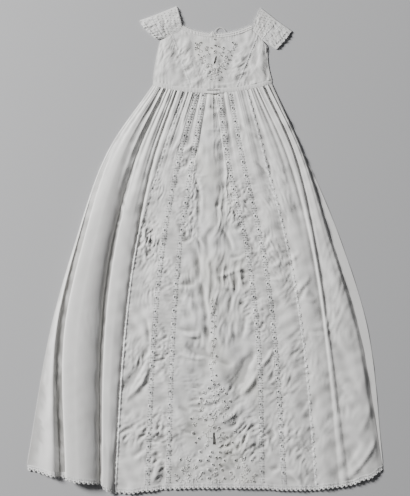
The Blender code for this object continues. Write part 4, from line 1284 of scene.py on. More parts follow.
class Workshop:
    """Makes Blender objects from mesh arrays, hides the imported nodes that each one replaces and logs its
    size.
    """

    def __init__(self, finishes: dict[Slot, bpy.types.Material]) -> None:
        self.finishes = finishes

    def embroider(self, name: str, grid: ClothGrid, design: Whitework, slit: tuple[float, ...]) -> None:
        """Cuts a slit and a design's eyelets into a grid, and makes the stitches as a piece of their own."""
        grid.cut(*slit)
        design.pierce(grid)
        self.piece(name, design.stitches.parts(), Slot.WHITEWORK, [], sheet=0.0)

    def piece(self, name: str, parts: MeshParts, slot: Slot, nodes: Sequence[str], sheet: float = SHEET):
        """Makes one piece.

        Args:
            name: the object's name.
            parts: its mesh, in millimetres on the plan.
            slot: the material slot that gives its finish.
            nodes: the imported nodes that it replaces, none for what is only added.
            sheet: thickness of the shell in millimetres, 0 for a mesh that is already solid.

        Returns:
            The new object.
        """
        mesh = bpy.data.meshes.new(name)
        points = (parts.points + np.array((0.0, -CENTRE_Y, 0.0))) * MM
        mesh.vertices.add(len(points))
        mesh.vertices.foreach_set("co", points.ravel())
        loops = np.concatenate((parts.quads.ravel(), parts.triangles.ravel()))
        mesh.loops.add(len(loops))
        mesh.loops.foreach_set("vertex_index", loops.astype(np.int32))
        fours, threes = len(parts.quads), len(parts.triangles)
        starts = np.concatenate((np.arange(fours) * 4, fours * 4 + np.arange(threes) * 3))
        mesh.polygons.add(fours + threes)
        mesh.polygons.foreach_set("loop_start", starts.astype(np.int32))
        mesh.update(calc_edges=True)
        mesh.validate()
        mesh.shade_smooth()
        edge_of = np.empty(len(mesh.loops), np.int32)
        mesh.loops.foreach_get("edge_index", edge_of)
        free = np.bincount(edge_of, minlength=len(mesh.edges)) == 1
        mesh.attributes.new("sharp_edge", "BOOLEAN", "EDGE").data.foreach_set("value", free)
        # The hollowness mask goes on the mesh, and the material paints shade into the folds with it
        if parts.hollow is not None:
            mesh.attributes.new("hollow", "FLOAT", "POINT").data.foreach_set("value", parts.hollow)
        made = bpy.data.objects.new(name, mesh)
        bpy.context.scene.collection.objects.link(made)
        made.data.materials.append(self.finishes[slot])
        if sheet:
            shell = made.modifiers.new("cloth_thickness", "SOLIDIFY")
            shell.thickness = sheet * MM
            shell.offset = 0.0
        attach(made, "root")
        if nodes:
            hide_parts(*nodes)
        areas = np.empty(len(mesh.polygons))
        mesh.polygons.foreach_get("area", areas)
        log.info("%s: %d faces, %.5f square metres", name, fours + threes, areas.sum())
        return made


class Socket:
    """A shader socket that adds, subtracts and multiplies like a number."""

    def __init__(self, tree: bpy.types.NodeTree, socket: bpy.types.NodeSocket) -> None:
        self.tree = tree
        self.socket = socket

    def _math(self, operation: str, first: object, second: object) -> "Socket":
        node = self.tree.nodes.new("ShaderNodeMath")
        node.operation = operation
        for place, value in zip(node.inputs, (first, second)):
            if isinstance(value, Socket):
                self.tree.links.new(value.socket, place)
            else:
                place.default_value = float(value)
        return Socket(self.tree, node.outputs[0])

    def __add__(self, other: object) -> "Socket":
        return self._math("ADD", self, other)

    def __radd__(self, other: object) -> "Socket":
        return self._math("ADD", other, self)

    def __sub__(self, other: object) -> "Socket":
        return self._math("SUBTRACT", self, other)

    def __rsub__(self, other: object) -> "Socket":
        return self._math("SUBTRACT", other, self)

    def __mul__(self, other: object) -> "Socket":
        return self._math("MULTIPLY", self, other)

    def __rmul__(self, other: object) -> "Socket":
        return self._math("MULTIPLY", other, self)


class ShaderBook:
    """One material's node tree, with short ways to add nodes to it."""

    def __init__(self, name: str) -> None:
        self.material = bpy.data.materials.new(name)
        self.material.use_nodes = True
        self.tree = self.material.node_tree
        self.shader = self.tree.nodes["Principled BSDF"]

    def node(self, kind: str, output: int | str, settings: Optional[dict] = None, **inputs: object) -> Socket:
        """Adds any node.

        Args:
            kind: the node's type name.
            output: which of its outputs is wanted.
            settings: its properties by name.
            **inputs: its inputs by name, with underscores for spaces, as numbers, tuples or sockets.

        Returns:
            The wanted output.
        """
        node = self.tree.nodes.new(kind)
        for key, value in (settings or {}).items():
            setattr(node, key, value)
        for key, value in inputs.items():
            place = node.inputs[key.replace("_", " ")]
            if isinstance(value, Socket):
                self.tree.links.new(value.socket, place)
            else:
                place.default_value = value
        return Socket(self.tree, node.outputs[output])

    def connect(self, name: str, value: Socket) -> None:
        """Links a value to one of the shader's own sockets."""
        self.tree.links.new(value.socket, self.shader.inputs[name])

    def mix_colour(self, factor: Socket, a: Socket | Sequence[float], b: Sequence[float]) -> Socket:
        """A colour between a and b."""
        node = self.tree.nodes.new("ShaderNodeMix")
        node.data_type = "RGBA"
        self.tree.links.new(factor.socket, node.inputs["Factor"])
        if isinstance(a, Socket):
            self.tree.links.new(a.socket, node.inputs[6])
        else:
            node.inputs[6].default_value = (*a, 1.0)
        node.inputs[7].default_value = (*b, 1.0)
        return Socket(self.tree, node.outputs[2])


# Painted shade: the dark colour mixed into the cloth's base colour deep in its folds and creases, where
# shadow falls, and how much of it the deepest hollows take
PAINTED_SHADE_COLOUR = (0.26, 0.255, 0.24)
PAINTED_SHADE_STRENGTH = 0.75


def cotton(finish: CottonFinish) -> bpy.types.Material:
    """A matt woven cotton: crossing threads with slubs, faint tonal patches, shade painted into its hollows
    and a soft sheen.

    The weave's height is the mean of two sets of ripples, one along X and one along Y, whose wave is as
    long as a thread is wide, with a finer noise for slubs. It only drives the bump.

    Args:
        finish: the cloth's colours, thread and relief.

    Returns:
        The material.
    """
    book = ShaderBook(finish.name)
    place = book.node("ShaderNodeTexCoord", "Object")
    ripple = math.tau / (20.0 * finish.thread * MM)
    warp = book.node(
        "ShaderNodeTexWave", "Fac", {"bands_direction": "X"}, Vector=place, Scale=ripple, Distortion=0.6
    )
    weft = book.node(
        "ShaderNodeTexWave", "Fac", {"bands_direction": "Y"}, Vector=place, Scale=ripple, Distortion=0.6
    )
    slub = book.node("ShaderNodeTexNoise", "Fac", Vector=place, Scale=900.0, Detail=2.0)
    patch = book.node("ShaderNodeTexNoise", "Fac", Vector=place, Scale=9.0, Detail=3.0)
    weave = (warp + weft) * 0.5 + slub * 0.4
    bump = book.node(
        "ShaderNodeBump", "Normal", Height=weave, Strength=finish.relief, Distance=finish.thread * MM * 0.5
    )
    tone = book.node(
        "ShaderNodeMapRange", "Result", {"clamp": True}, Value=patch, From_Min=0.42, From_Max=0.68
    )
    # The mesh's hollowness mask darkens the base colour: painted shade in folds and creases
    hollow = book.node("ShaderNodeAttribute", "Fac", {"attribute_name": "hollow"})
    cloth = book.mix_colour(tone, finish.light, finish.shade)
    book.connect("Base Color", book.mix_colour(hollow * PAINTED_SHADE_STRENGTH, cloth, PAINTED_SHADE_COLOUR))
    book.connect("Roughness", slub * 0.12 + (finish.roughness - 0.06))
    book.connect("Normal", bump)
    book.shader.inputs["Sheen Weight"].default_value = finish.sheen
    book.shader.inputs["Sheen Roughness"].default_value = 0.5
    book.shader.inputs["Specular IOR Level"].default_value = 0.25
    return book.material


# Each slot's finish
FINISH_ROWS = (
    (Slot.LAWN, "lawn_cloth", (0.825, 0.815, 0.795), (0.80, 0.79, 0.765), 0.82, 0.45, 0.25, 0.12),
    (Slot.WHITEWORK, "whitework_cloth", (0.815, 0.81, 0.795), (0.775, 0.765, 0.72), 0.84, 0.45, 0.3, 0.12),
    (Slot.EDGING, "edging_thread", (0.85, 0.845, 0.83), (0.80, 0.795, 0.775), 0.86, 0.6, 0.4, 0.15),
    (Slot.DRAWSTRING, "drawstring_tape", (0.83, 0.82, 0.79), (0.78, 0.77, 0.74), 0.8, 0.35, 0.4, 0.1),
)
FINISHES = {slot: CottonFinish(*row) for slot, *row in FINISH_ROWS}


@dataclass(frozen=True)
class Panel:
    """A cut piece of a front: its first and last line, rows, slot, and its cut's sides and area in metres."""

    node: str
    first: str
    last: str
    rows: int
    slot: Slot
    cut: tuple[float, float]
    area: float


@dataclass(frozen=True)
class RobingEdging:
    """A narrow scalloped edging over a robing seam.

    Attributes:
        length: about the seam's length.
        start: the share of the seam at which it starts.
        width: its greatest width.
        pitch: from one scallop to the next.
        narrow: its width between two scallops as a share of the greatest.
        across: shares of the width at which its rows of points lie.
        above: how high each row lies over the cloth.
        ripple: the ripple's height and wave, how much it wanders and over what distance.
        eyelet: the hole in each scallop.
    """

    length: float
    start: float
    width: float
    pitch: float
    narrow: float
    across: tuple[float, ...]
    above: tuple[float, ...]
    ripple: tuple[float, float, float, float]
    eyelet: Eyelet

    # Rows of points for each scallop, the share of the width from which it swells, and the shell's thickness
    STEPS, SWELLS_FROM, SHEET = 4, 0.6, 0.35

    def sew(self, shop: Workshop, front: Front, node: str, line: str, side: float) -> None:
        """Makes the edging of one seam, towards side -1 or 1.

        A point's distance from the seam is its share of the width. The outer rows swell and narrow by the
        absolute sine of their place in the scallop.
        """
        turns = int(self.length / self.pitch)
        v = np.linspace(self.start, 1.0, turns * self.STEPS + 1)
        x0, y0 = front.plan(np.full(v.size, float(front.index(line))), v)
        share = np.array(self.across)[:, None]
        arch = np.abs(np.sin(math.pi * turns * np.linspace(0.0, 1.0, v.size)))
        swell = self.narrow + (1.0 - self.narrow) * arch
        reach = share * np.where(share > self.SWELLS_FROM, swell, 1.0) * self.width
        x = x0 + side * reach
        y = np.broadcast_to(y0, x.shape)
        height, wave, wander, spread = self.ripple
        ripple = height * share * np.sin(math.tau * y0 / wave + wander * np.sin(y0 / spread))
        z = front.lift(x.ravel(), y.ravel()).reshape(x.shape) + np.array(self.above)[:, None] + ripple
        grid = ClothGrid(np.stack((x, y, z), axis=-1)[:: int(side)])
        column = np.full(turns, 2 if side > 0 else 1)
        grid.pierce(column, np.arange(turns) * self.STEPS + 1, self.eyelet)
        shop.piece(node + "_lace", grid.parts(), Slot.EDGING, [node], sheet=self.SHEET)


@dataclass
class Skirt:
    """The skirt: front panels, bands of insertion, robing edgings, hem edgings and the back breadth.

    The slit is given by its middle, length, width and turn.
    """

    shop: Workshop
    front: SkirtFront
    band_cells: int = 4
    band_rows: int = 320
    unit: int = 11
    band_overlap: float = 0.9
    band_rise: float = 0.35
    band_fall: float = 0.55
    scallop_pitch: float = 9.8
    scallop_cells: int = 6
    hem_width: float = 8.2
    scallop_depth: float = 4.6
    slit: tuple[float, float, float, float, float] = (19.4, -397.0, 32.0, 5.0, 4.0)
    back_right: tuple[float, ...] = BACK_RIGHT_EDGE
    back_side_y: float = -457.0
    back_drop: float = 38.0

    EDGING = RobingEdging(
        length=840.0,
        start=0.012,
        width=5.6,
        pitch=6.4,
        narrow=0.62,
        across=(-0.12, 0.2, 0.5, 0.78, 1.0),
        above=(-0.15, 0.4, 0.45, 0.55, 0.25),
        ripple=(0.8, 15.5, 1.1, 37.0),
        eyelet=Eyelet(1, 2, 0.75, 0.4, 0.4),
    )
    PANELS = tuple(
        Panel(*row)
        for row in (
            ("skirt_side_left", "left_edge", "left_robing_seam", 140, Slot.LAWN, (0.21, 0.84), 0.150),
            ("skirt_gore_left", "left_robing_seam", "outer_left_band_a", 305,
             Slot.LAWN, (0.062, 0.85), 0.043),
            ("skirt_strip_left", "outer_left_band_b", "inner_left_band_a", 305,
             Slot.LAWN, (0.032, 0.85), 0.0245),
            ("skirt_gore_centre", "inner_left_band_b", "inner_right_band_a", 335,
             Slot.WHITEWORK, (0.19, 0.85), 0.12),
            ("skirt_strip_right", "inner_right_band_b", "outer_right_band_a", 305,
             Slot.LAWN, (0.035, 0.85), 0.024),
            ("skirt_gore_right", "outer_right_band_b", "right_robing_seam", 305,
             Slot.LAWN, (0.066, 0.85), 0.045),
            ("skirt_side_right", "right_robing_seam", "right_edge", 205, Slot.LAWN, (0.17, 0.84), 0.113),
        )
    )
    BANDS = (
        ("insertion_left_outer", "outer_left_band_a"),
        ("insertion_left_inner", "inner_left_band_a"),
        ("insertion_right_inner", "inner_right_band_a"),
        ("insertion_right_outer", "outer_right_band_a"),
    )
    BAND_RING, BAND_HOLE = Eyelet(4, 4, 2.0, 1.7, 1.3), Eyelet(1, 1, 1.0, 0.35, 0.7)
    BAND_SPRIG = ((0, 4), (3, 4), (0, 6), (3, 6), (1, 6), (2, 8), (0, 8), (3, 8), (0, 10), (3, 10))

    # The hem edging's rows: shares of the way down and heights over the cloth, then its holes
    HEM_DOWN = (0.0, 0.08, 0.2, 0.36, 0.52, 0.69, 0.86, 0.93, 1.0)
    HEM_RAISED = (0.0, 0.3, 0.1, 0.1, 0.1, 0.1, 0.4, 0.9, 0.3)
    HEM_EYELET, HEM_HOLE = Eyelet(2, 2, 1.5, 0.6, 0.9), Eyelet(1, 1, 0.7, 0.3, 0.4)
    HEM_HOLES = ((0, 3), (5, 3), (2, 2))

    def columns(self, first: int, last: int) -> Array:
        """Places u across a panel: about 2 mm apart, and closer where the cloth is tucked under a roll."""
        places = [np.array([float(first)])]
        for k in range(first, last):
            width = abs(self.front.across[k + 1, 3] - self.front.across[k, 3])
            count = max(6, int(round(width / 2.0)))
            if k in self.front.TUCKS:
                places.append(k + np.linspace(0.0, 1.0, int(1.5 * count) + 1)[1:] ** 1.6)
            elif k in self.front.ROLLS:
                places.append(k + 1.0 - np.linspace(1.0, 0.0, int(1.3 * count) + 1)[1:] ** 1.5)
            else:
                places.append(k + np.linspace(0.0, 1.0, count + 1)[1:])
        return np.concatenate(places)

    def panel(self, panel: Panel) -> None:
        """One panel between two fold lines, its rows closer together near the gathers."""
        us = self.columns(self.front.index(panel.first), self.front.index(panel.last))
        even = np.linspace(0.0, 1.0, panel.rows + 1)
        grid = sheet_grid(self.front, us, 0.8 * even + 0.2 * even**2)
        if panel.slot is Slot.WHITEWORK:
            design = Whitework(self.front.lift, SKIRT_FLORETS, SKIRT_SPRAYS, SKIRT_BERRIES)
            self.shop.embroider("whitework_skirt_stitches", grid, design, self.slit)
        made = self.shop.piece(panel.node + "_cloth", grid.parts(), panel.slot, [panel.node])

    def insertion(self, node: str, line: str) -> None:
        """A band of openwork that laps over both neighbours.

        In each unit of rows a large eyelet is followed by a sprig of small ones, each given by its column
        and its row in the unit.
        """
        start = self.front.index(line)

        def surface(u: Array, t: Array) -> Array:
            points = self.front(u, t)
            side = 2.0 * (u - start) - 1.0
            points[:, 0] += self.band_overlap * side * np.abs(side)
            points[:, 2] += self.band_rise - self.band_fall * side**2
            return points

        us = np.linspace(start, start + 1, self.band_cells + 1)
        grid = sheet_grid(surface, us, np.linspace(0.0, 1.0, self.band_rows + 1))
        units = np.arange(0, self.band_rows - self.unit, self.unit)
        grid.pierce(np.zeros(len(units), int), units, self.BAND_RING)
        for column, offset in self.BAND_SPRIG:
            grid.pierce(np.full(len(units), column), units + offset, self.BAND_HOLE)
        made = self.shop.piece(node + "_openwork", grid.parts(), Slot.EDGING, [node])

    def hem_edging(self, node: str, seam: Array, small: bool) -> None:
        """The scalloped border under one layer, lapped over the layer's lower edge.

        A point lies straight down from the seam above it. The lowest row swings out by the scallop's
        depth times the absolute sine of its place in the scallop.

        Args:
            node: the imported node.
            seam: points along the cloth's lower edge, from left to right.
            small: whether each scallop has small eyelets beside its large one.
        """
        along = np.concatenate(((0.0,), np.cumsum(np.linalg.norm(np.diff(seam, axis=0), axis=1))))
        scallops = int(round(along[-1] / self.scallop_pitch))
        share = np.linspace(0.0, 1.0, scallops * self.scallop_cells + 1)
        top = np.stack([np.interp(share * along[-1], along, seam[:, k]) for k in range(3)], axis=-1)
        down, raised = np.array(self.HEM_DOWN), np.array(self.HEM_RAISED)
        depth = self.hem_width + self.scallop_depth * np.abs(np.sin(math.pi * scallops * share))
        ripple = 0.35 * np.sin(share * along[-1] / 5.3 + 2.1 * np.sin(share * along[-1] / 19.0))
        points = np.repeat(top[:, None], len(down), axis=1)
        points[..., 1] -= depth[:, None] * down
        points[..., 2] += raised + down * ripple[:, None] * small
        grid = ClothGrid(points)
        start = np.arange(scallops) * self.scallop_cells
        grid.pierce(start + 2, np.full(scallops, 4), self.HEM_EYELET)
        for column, row in self.HEM_HOLES if small else ():
            grid.pierce(start + column, np.full(scallops, row), self.HEM_HOLE)
        made = self.shop.piece(node + "_lace", grid.parts(), Slot.EDGING, [node])

    def back_plan(self, u: Array, t: Array) -> tuple[Array, Array]:
        """The back breadth's plan: its left edge follows the front's, its right edge its own."""
        left = through(ACROSS_STATIONS, self.front.across[:1], t)[0]
        right = through(ACROSS_STATIONS, np.array([self.back_right]), t)[0]
        waist_left, waist_right = self.front.across[0, 0], self.back_right[0]
        top = waist_y(waist_left + (waist_right - waist_left) * u) - WAIST_SEAM
        bottom = self.back_side_y - self.back_drop * np.sin(math.pi * u) + HEM_SEAM
        return left + (right - left) * u, top + (bottom - top) * t

    def back(self) -> None:
        """The back breadth, flat underneath, with its shown right margin a little uneven."""

        def surface(u: Array, t: Array) -> Array:
            x, y = self.back_plan(u, t)
            margin = smooth(np.clip((u - 0.9) / 0.08, 0.0, 1.0))
            lift = 0.22 * margin * (1.0 + np.sin(y / 14.0 + 1.3 * np.sin(y / 41.0)))
            return np.stack((x, y, BACK_Z + lift), axis=-1)

        us = np.concatenate((np.linspace(0.0, 0.88, 24), np.linspace(0.9, 1.0, 20)))
        grid = sheet_grid(surface, us, np.linspace(0.0, 1.0, 72))
        made = self.shop.piece("skirt_back_cloth", grid.parts(), Slot.LAWN, ["skirt_back"])

        share = np.linspace(0.0, 1.0, 200)
        x, y = self.back_plan(share, np.ones_like(share))
        flat = np.full(x.shape, BACK_Z)
        self.hem_edging("hem_edging_back", np.stack((x, y, flat), axis=-1), small=False)

    def build(self) -> None:
        """Makes every piece of the skirt."""
        for panel in self.PANELS:
            self.panel(panel)
        for node, line in self.BANDS:
            self.insertion(node, line)
        self.EDGING.sew(self.shop, self.front, "skirt_edging_left", "left_robing_seam", -1.0)
        self.EDGING.sew(self.shop, self.front, "skirt_edging_right", "right_robing_seam", 1.0)
        places = self.columns(0, self.front.last)
        self.hem_edging("hem_edging_front", self.front(places, np.ones_like(places)), small=True)
        self.back()


@dataclass
class Bodice:
    """The bodice: five front pieces, their edgings, two backs, waistband and neckband.

    The waistband sags at one place, where its front is open between two x and between two of its rows.
    """

    shop: Workshop
    front: BodiceFront
    slit: tuple[float, float, float, float, float] = (21.7, 397.0, 19.0, 4.0, -14.0)
    waistband_width: float = 9.6
    neck_lace: float = 3.0
    neckband_width: float = 8.0
    neck_middle: float = 20.0
    waist_left: float = -109.0
    waist_middle: float = 15.0
    waist_right: float = 140.0
    waist_z: float = 3.4
    edge_roll: float = 20.0
    sag_x: float = 19.0
    sag_reach: float = 16.0
    sag_drop: float = 1.2
    sag_rise: float = 2.2
    open_x: tuple[float, float] = (4.0, 31.0)
    open_rows: tuple[int, int] = (4, 8)

    EDGING = RobingEdging(
        length=95.0,
        start=0.0,
        width=3.8,
        pitch=3.5,
        narrow=0.6,
        across=(-0.3, 0.18, 0.5, 0.8, 1.0),
        above=(-0.15, 0.35, 0.4, 0.5, 0.25),
        ripple=(0.3, 2.9 * math.tau, 1.7, 7.0),
        eyelet=Eyelet(1, 2, 0.55, 0.4, 0.25),
    )
    PANELS = tuple(
        Panel(*row)
        for row in (
            ("bodice_side_left", "left_side", "left_robing_outer", 76, Slot.LAWN, (0.085, 0.115), 0.0064),
            ("bodice_robing_left", "left_robing_outer", "left_robing_inner", 76,
             Slot.LAWN, (0.040, 0.105), 0.0038),
            ("bodice_stomacher", "left_robing_inner", "right_robing_inner", 76,
             Slot.WHITEWORK, (0.11, 0.105), 0.0084),
            ("bodice_robing_right", "right_robing_inner", "right_robing_outer", 76,
             Slot.LAWN, (0.042, 0.105), 0.0042),
            ("bodice_side_right", "right_robing_outer", "right_side", 76, Slot.LAWN, (0.078, 0.10), 0.0050),
        )
    )
    COLUMNS = {
        "bodice_side_left": 56,
        "bodice_robing_left": 26,
        "bodice_stomacher": 72,
        "bodice_robing_right": 28,
        "bodice_side_right": 52,
    }

    def panels(self) -> None:
        """The five pieces of the front."""
        for panel in self.PANELS:
            first, last = self.front.index(panel.first), self.front.index(panel.last)
            us = np.linspace(first, last, self.COLUMNS[panel.node] + 1)
            grid = sheet_grid(self.front, us, np.linspace(0.0, 1.0, panel.rows + 1))
            if panel.slot is Slot.WHITEWORK:
                design = Whitework(self.front.lift, BODICE_FLORETS, BODICE_SPRAYS, BODICE_BERRIES)
                self.shop.embroider("whitework_bodice_stitches", grid, design, self.slit)
            made = self.shop.piece(panel.node + "_cloth", grid.parts(), panel.slot, [panel.node])

    def backs(self) -> None:
        """The two backs, flat underneath."""

        def surface(u: Array, q: Array) -> Array:
            x, y = self.front.plan(u, q)
            return np.stack((x, y, np.full(x.shape, BACK_Z)), axis=-1)

        for node, first, last in (
            ("bodice_back_left", "left_side", "centre"),
            ("bodice_back_right", "centre", "right_side"),
        ):
            us = np.linspace(self.front.index(first), self.front.index(last), 40)
            grid = sheet_grid(surface, us, np.linspace(0.0, 1.0, 30))
            made = self.shop.piece(node + "_cloth", grid.parts(), Slot.LAWN, [node])

    def waistbands(self) -> None:
        """The band between bodice and skirt: edges stitched down, fine upright puckers between them."""

        def surface(x: Array, v: Array) -> Array:
            inset = np.clip(np.minimum(x - self.waist_left, self.waist_right - x) / self.edge_roll, 0.0, 1.0)
            high = SIDE_EDGE_Z + (self.waist_z - SIDE_EDGE_Z) * np.sin(0.5 * math.pi * inset)
            crown = np.sin(math.pi * v) ** 0.6
            wander = math.tau * x / 5.9 + 2.6 * np.sin(x / 11.0)
            ripple = 0.22 * np.sin(wander) * (0.2 + 0.8 * v) * np.sin(x / 17.0)
            sag = np.exp(-(((x - self.sag_x) / self.sag_reach) ** 2)) * v
            y = waist_y(x) - 0.15 - (self.waistband_width - 0.1) * v - self.sag_drop * sag
            z = high - SHEET + 0.6 * crown + ripple * inset + self.sag_rise * sag
            return np.stack((x, y, z), axis=-1)

        def back(x: Array, v: Array) -> Array:
            y = waist_y(x) - 0.15 - (self.waistband_width - 0.1) * v
            return np.stack((x, y, np.full(x.shape, BACK_Z)), axis=-1)

        xs = np.linspace(self.waist_left, self.waist_right, 210)
        grid = sheet_grid(surface, xs, np.linspace(0.0, 1.0, 19))
        columns = (xs[:-1] > self.open_x[0]) & (xs[:-1] < self.open_x[1])
        grid.kept[columns, self.open_rows[0] : self.open_rows[1]] = False
        made = self.shop.piece("waistband_front_cloth", grid.parts(), Slot.LAWN, ["waistband_front"])
        for node, x0, x1 in (
            ("waistband_back_left", self.waist_left, self.waist_middle),
            ("waistband_back_right", self.waist_middle, self.waist_right),
        ):
            band = sheet_grid(back, np.linspace(x0, x1, 40), np.linspace(0.0, 1.0, 4))
            made = self.shop.piece(node + "_cloth", band.parts(), Slot.LAWN, [node])

    def neckbands(self) -> None:
        """The narrow band round the neck, with a stitched channel along its middle."""

        def strip(z: float, relief: float) -> Surface:
            def surface(x: Array, v: Array) -> Array:
                crown = np.abs(np.sin(math.tau * v)) ** 0.7
                wander = math.tau * x / 5.3 + 2.7 * np.sin(x / 8.0)
                ripple = 0.32 * np.sin(wander) * np.sin(math.pi * v) * np.sin(x / 13.0)
                y = neck_y(x) - self.neck_lace - (self.neckband_width - 0.15) * v
                return np.stack((x, y, z + relief * (0.8 * crown + ripple)), axis=-1)

            return surface

        bands = (
            ("neckband_front", NECK_LEFT, NECK_RIGHT, BAND_Z, 0.95, 150, 0.155),
            ("neckband_back_left", NECK_LEFT, self.neck_middle, BACK_Z, 0.0, 30, 0.07),
            ("neckband_back_right", self.neck_middle, NECK_RIGHT, BACK_Z, 0.0, 30, 0.08),
        )
        for node, x0, x1, z, relief, columns, cut in bands:
            grid = sheet_grid(strip(z, relief), np.linspace(x0, x1, columns), np.linspace(0.0, 1.0, 13))
            made = self.shop.piece(node + "_cloth", grid.parts(), Slot.LAWN, [node])

    def build(self) -> None:
        """Makes every piece of the bodice."""
        self.panels()
        self.backs()
        self.EDGING.sew(self.shop, self.front, "bodice_edging_left", "left_robing_outer", -1.0)
        self.EDGING.sew(self.shop, self.front, "bodice_edging_right", "right_robing_outer", 1.0)
        self.waistbands()
        self.neckbands()


@dataclass(frozen=True)
class SleeveLines:
    """Plan points of one sleeve: its fold, its cuff and its armhole seam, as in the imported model."""

    name: str
    neck_fold: tuple[float, float]
    cuff_seam_fold: tuple[float, float]
    cuff_fold: tuple[float, float]
    neck_seam: tuple[float, float]
    cuff_seam: tuple[float, float]
    cuff_under: tuple[float, float]
    bulge: float


SLEEVES = (
    SleeveLines("left", (-60, 510), (-102, 493), (-131, 481), (-48.2, 461), (-80, 445.2), (-101, 441), 9.0),
    SleeveLines("right", (117, 507), (151, 480), (180, 459), (98.2, 462.2), (118, 440.5), (150, 420), 3.0),
)


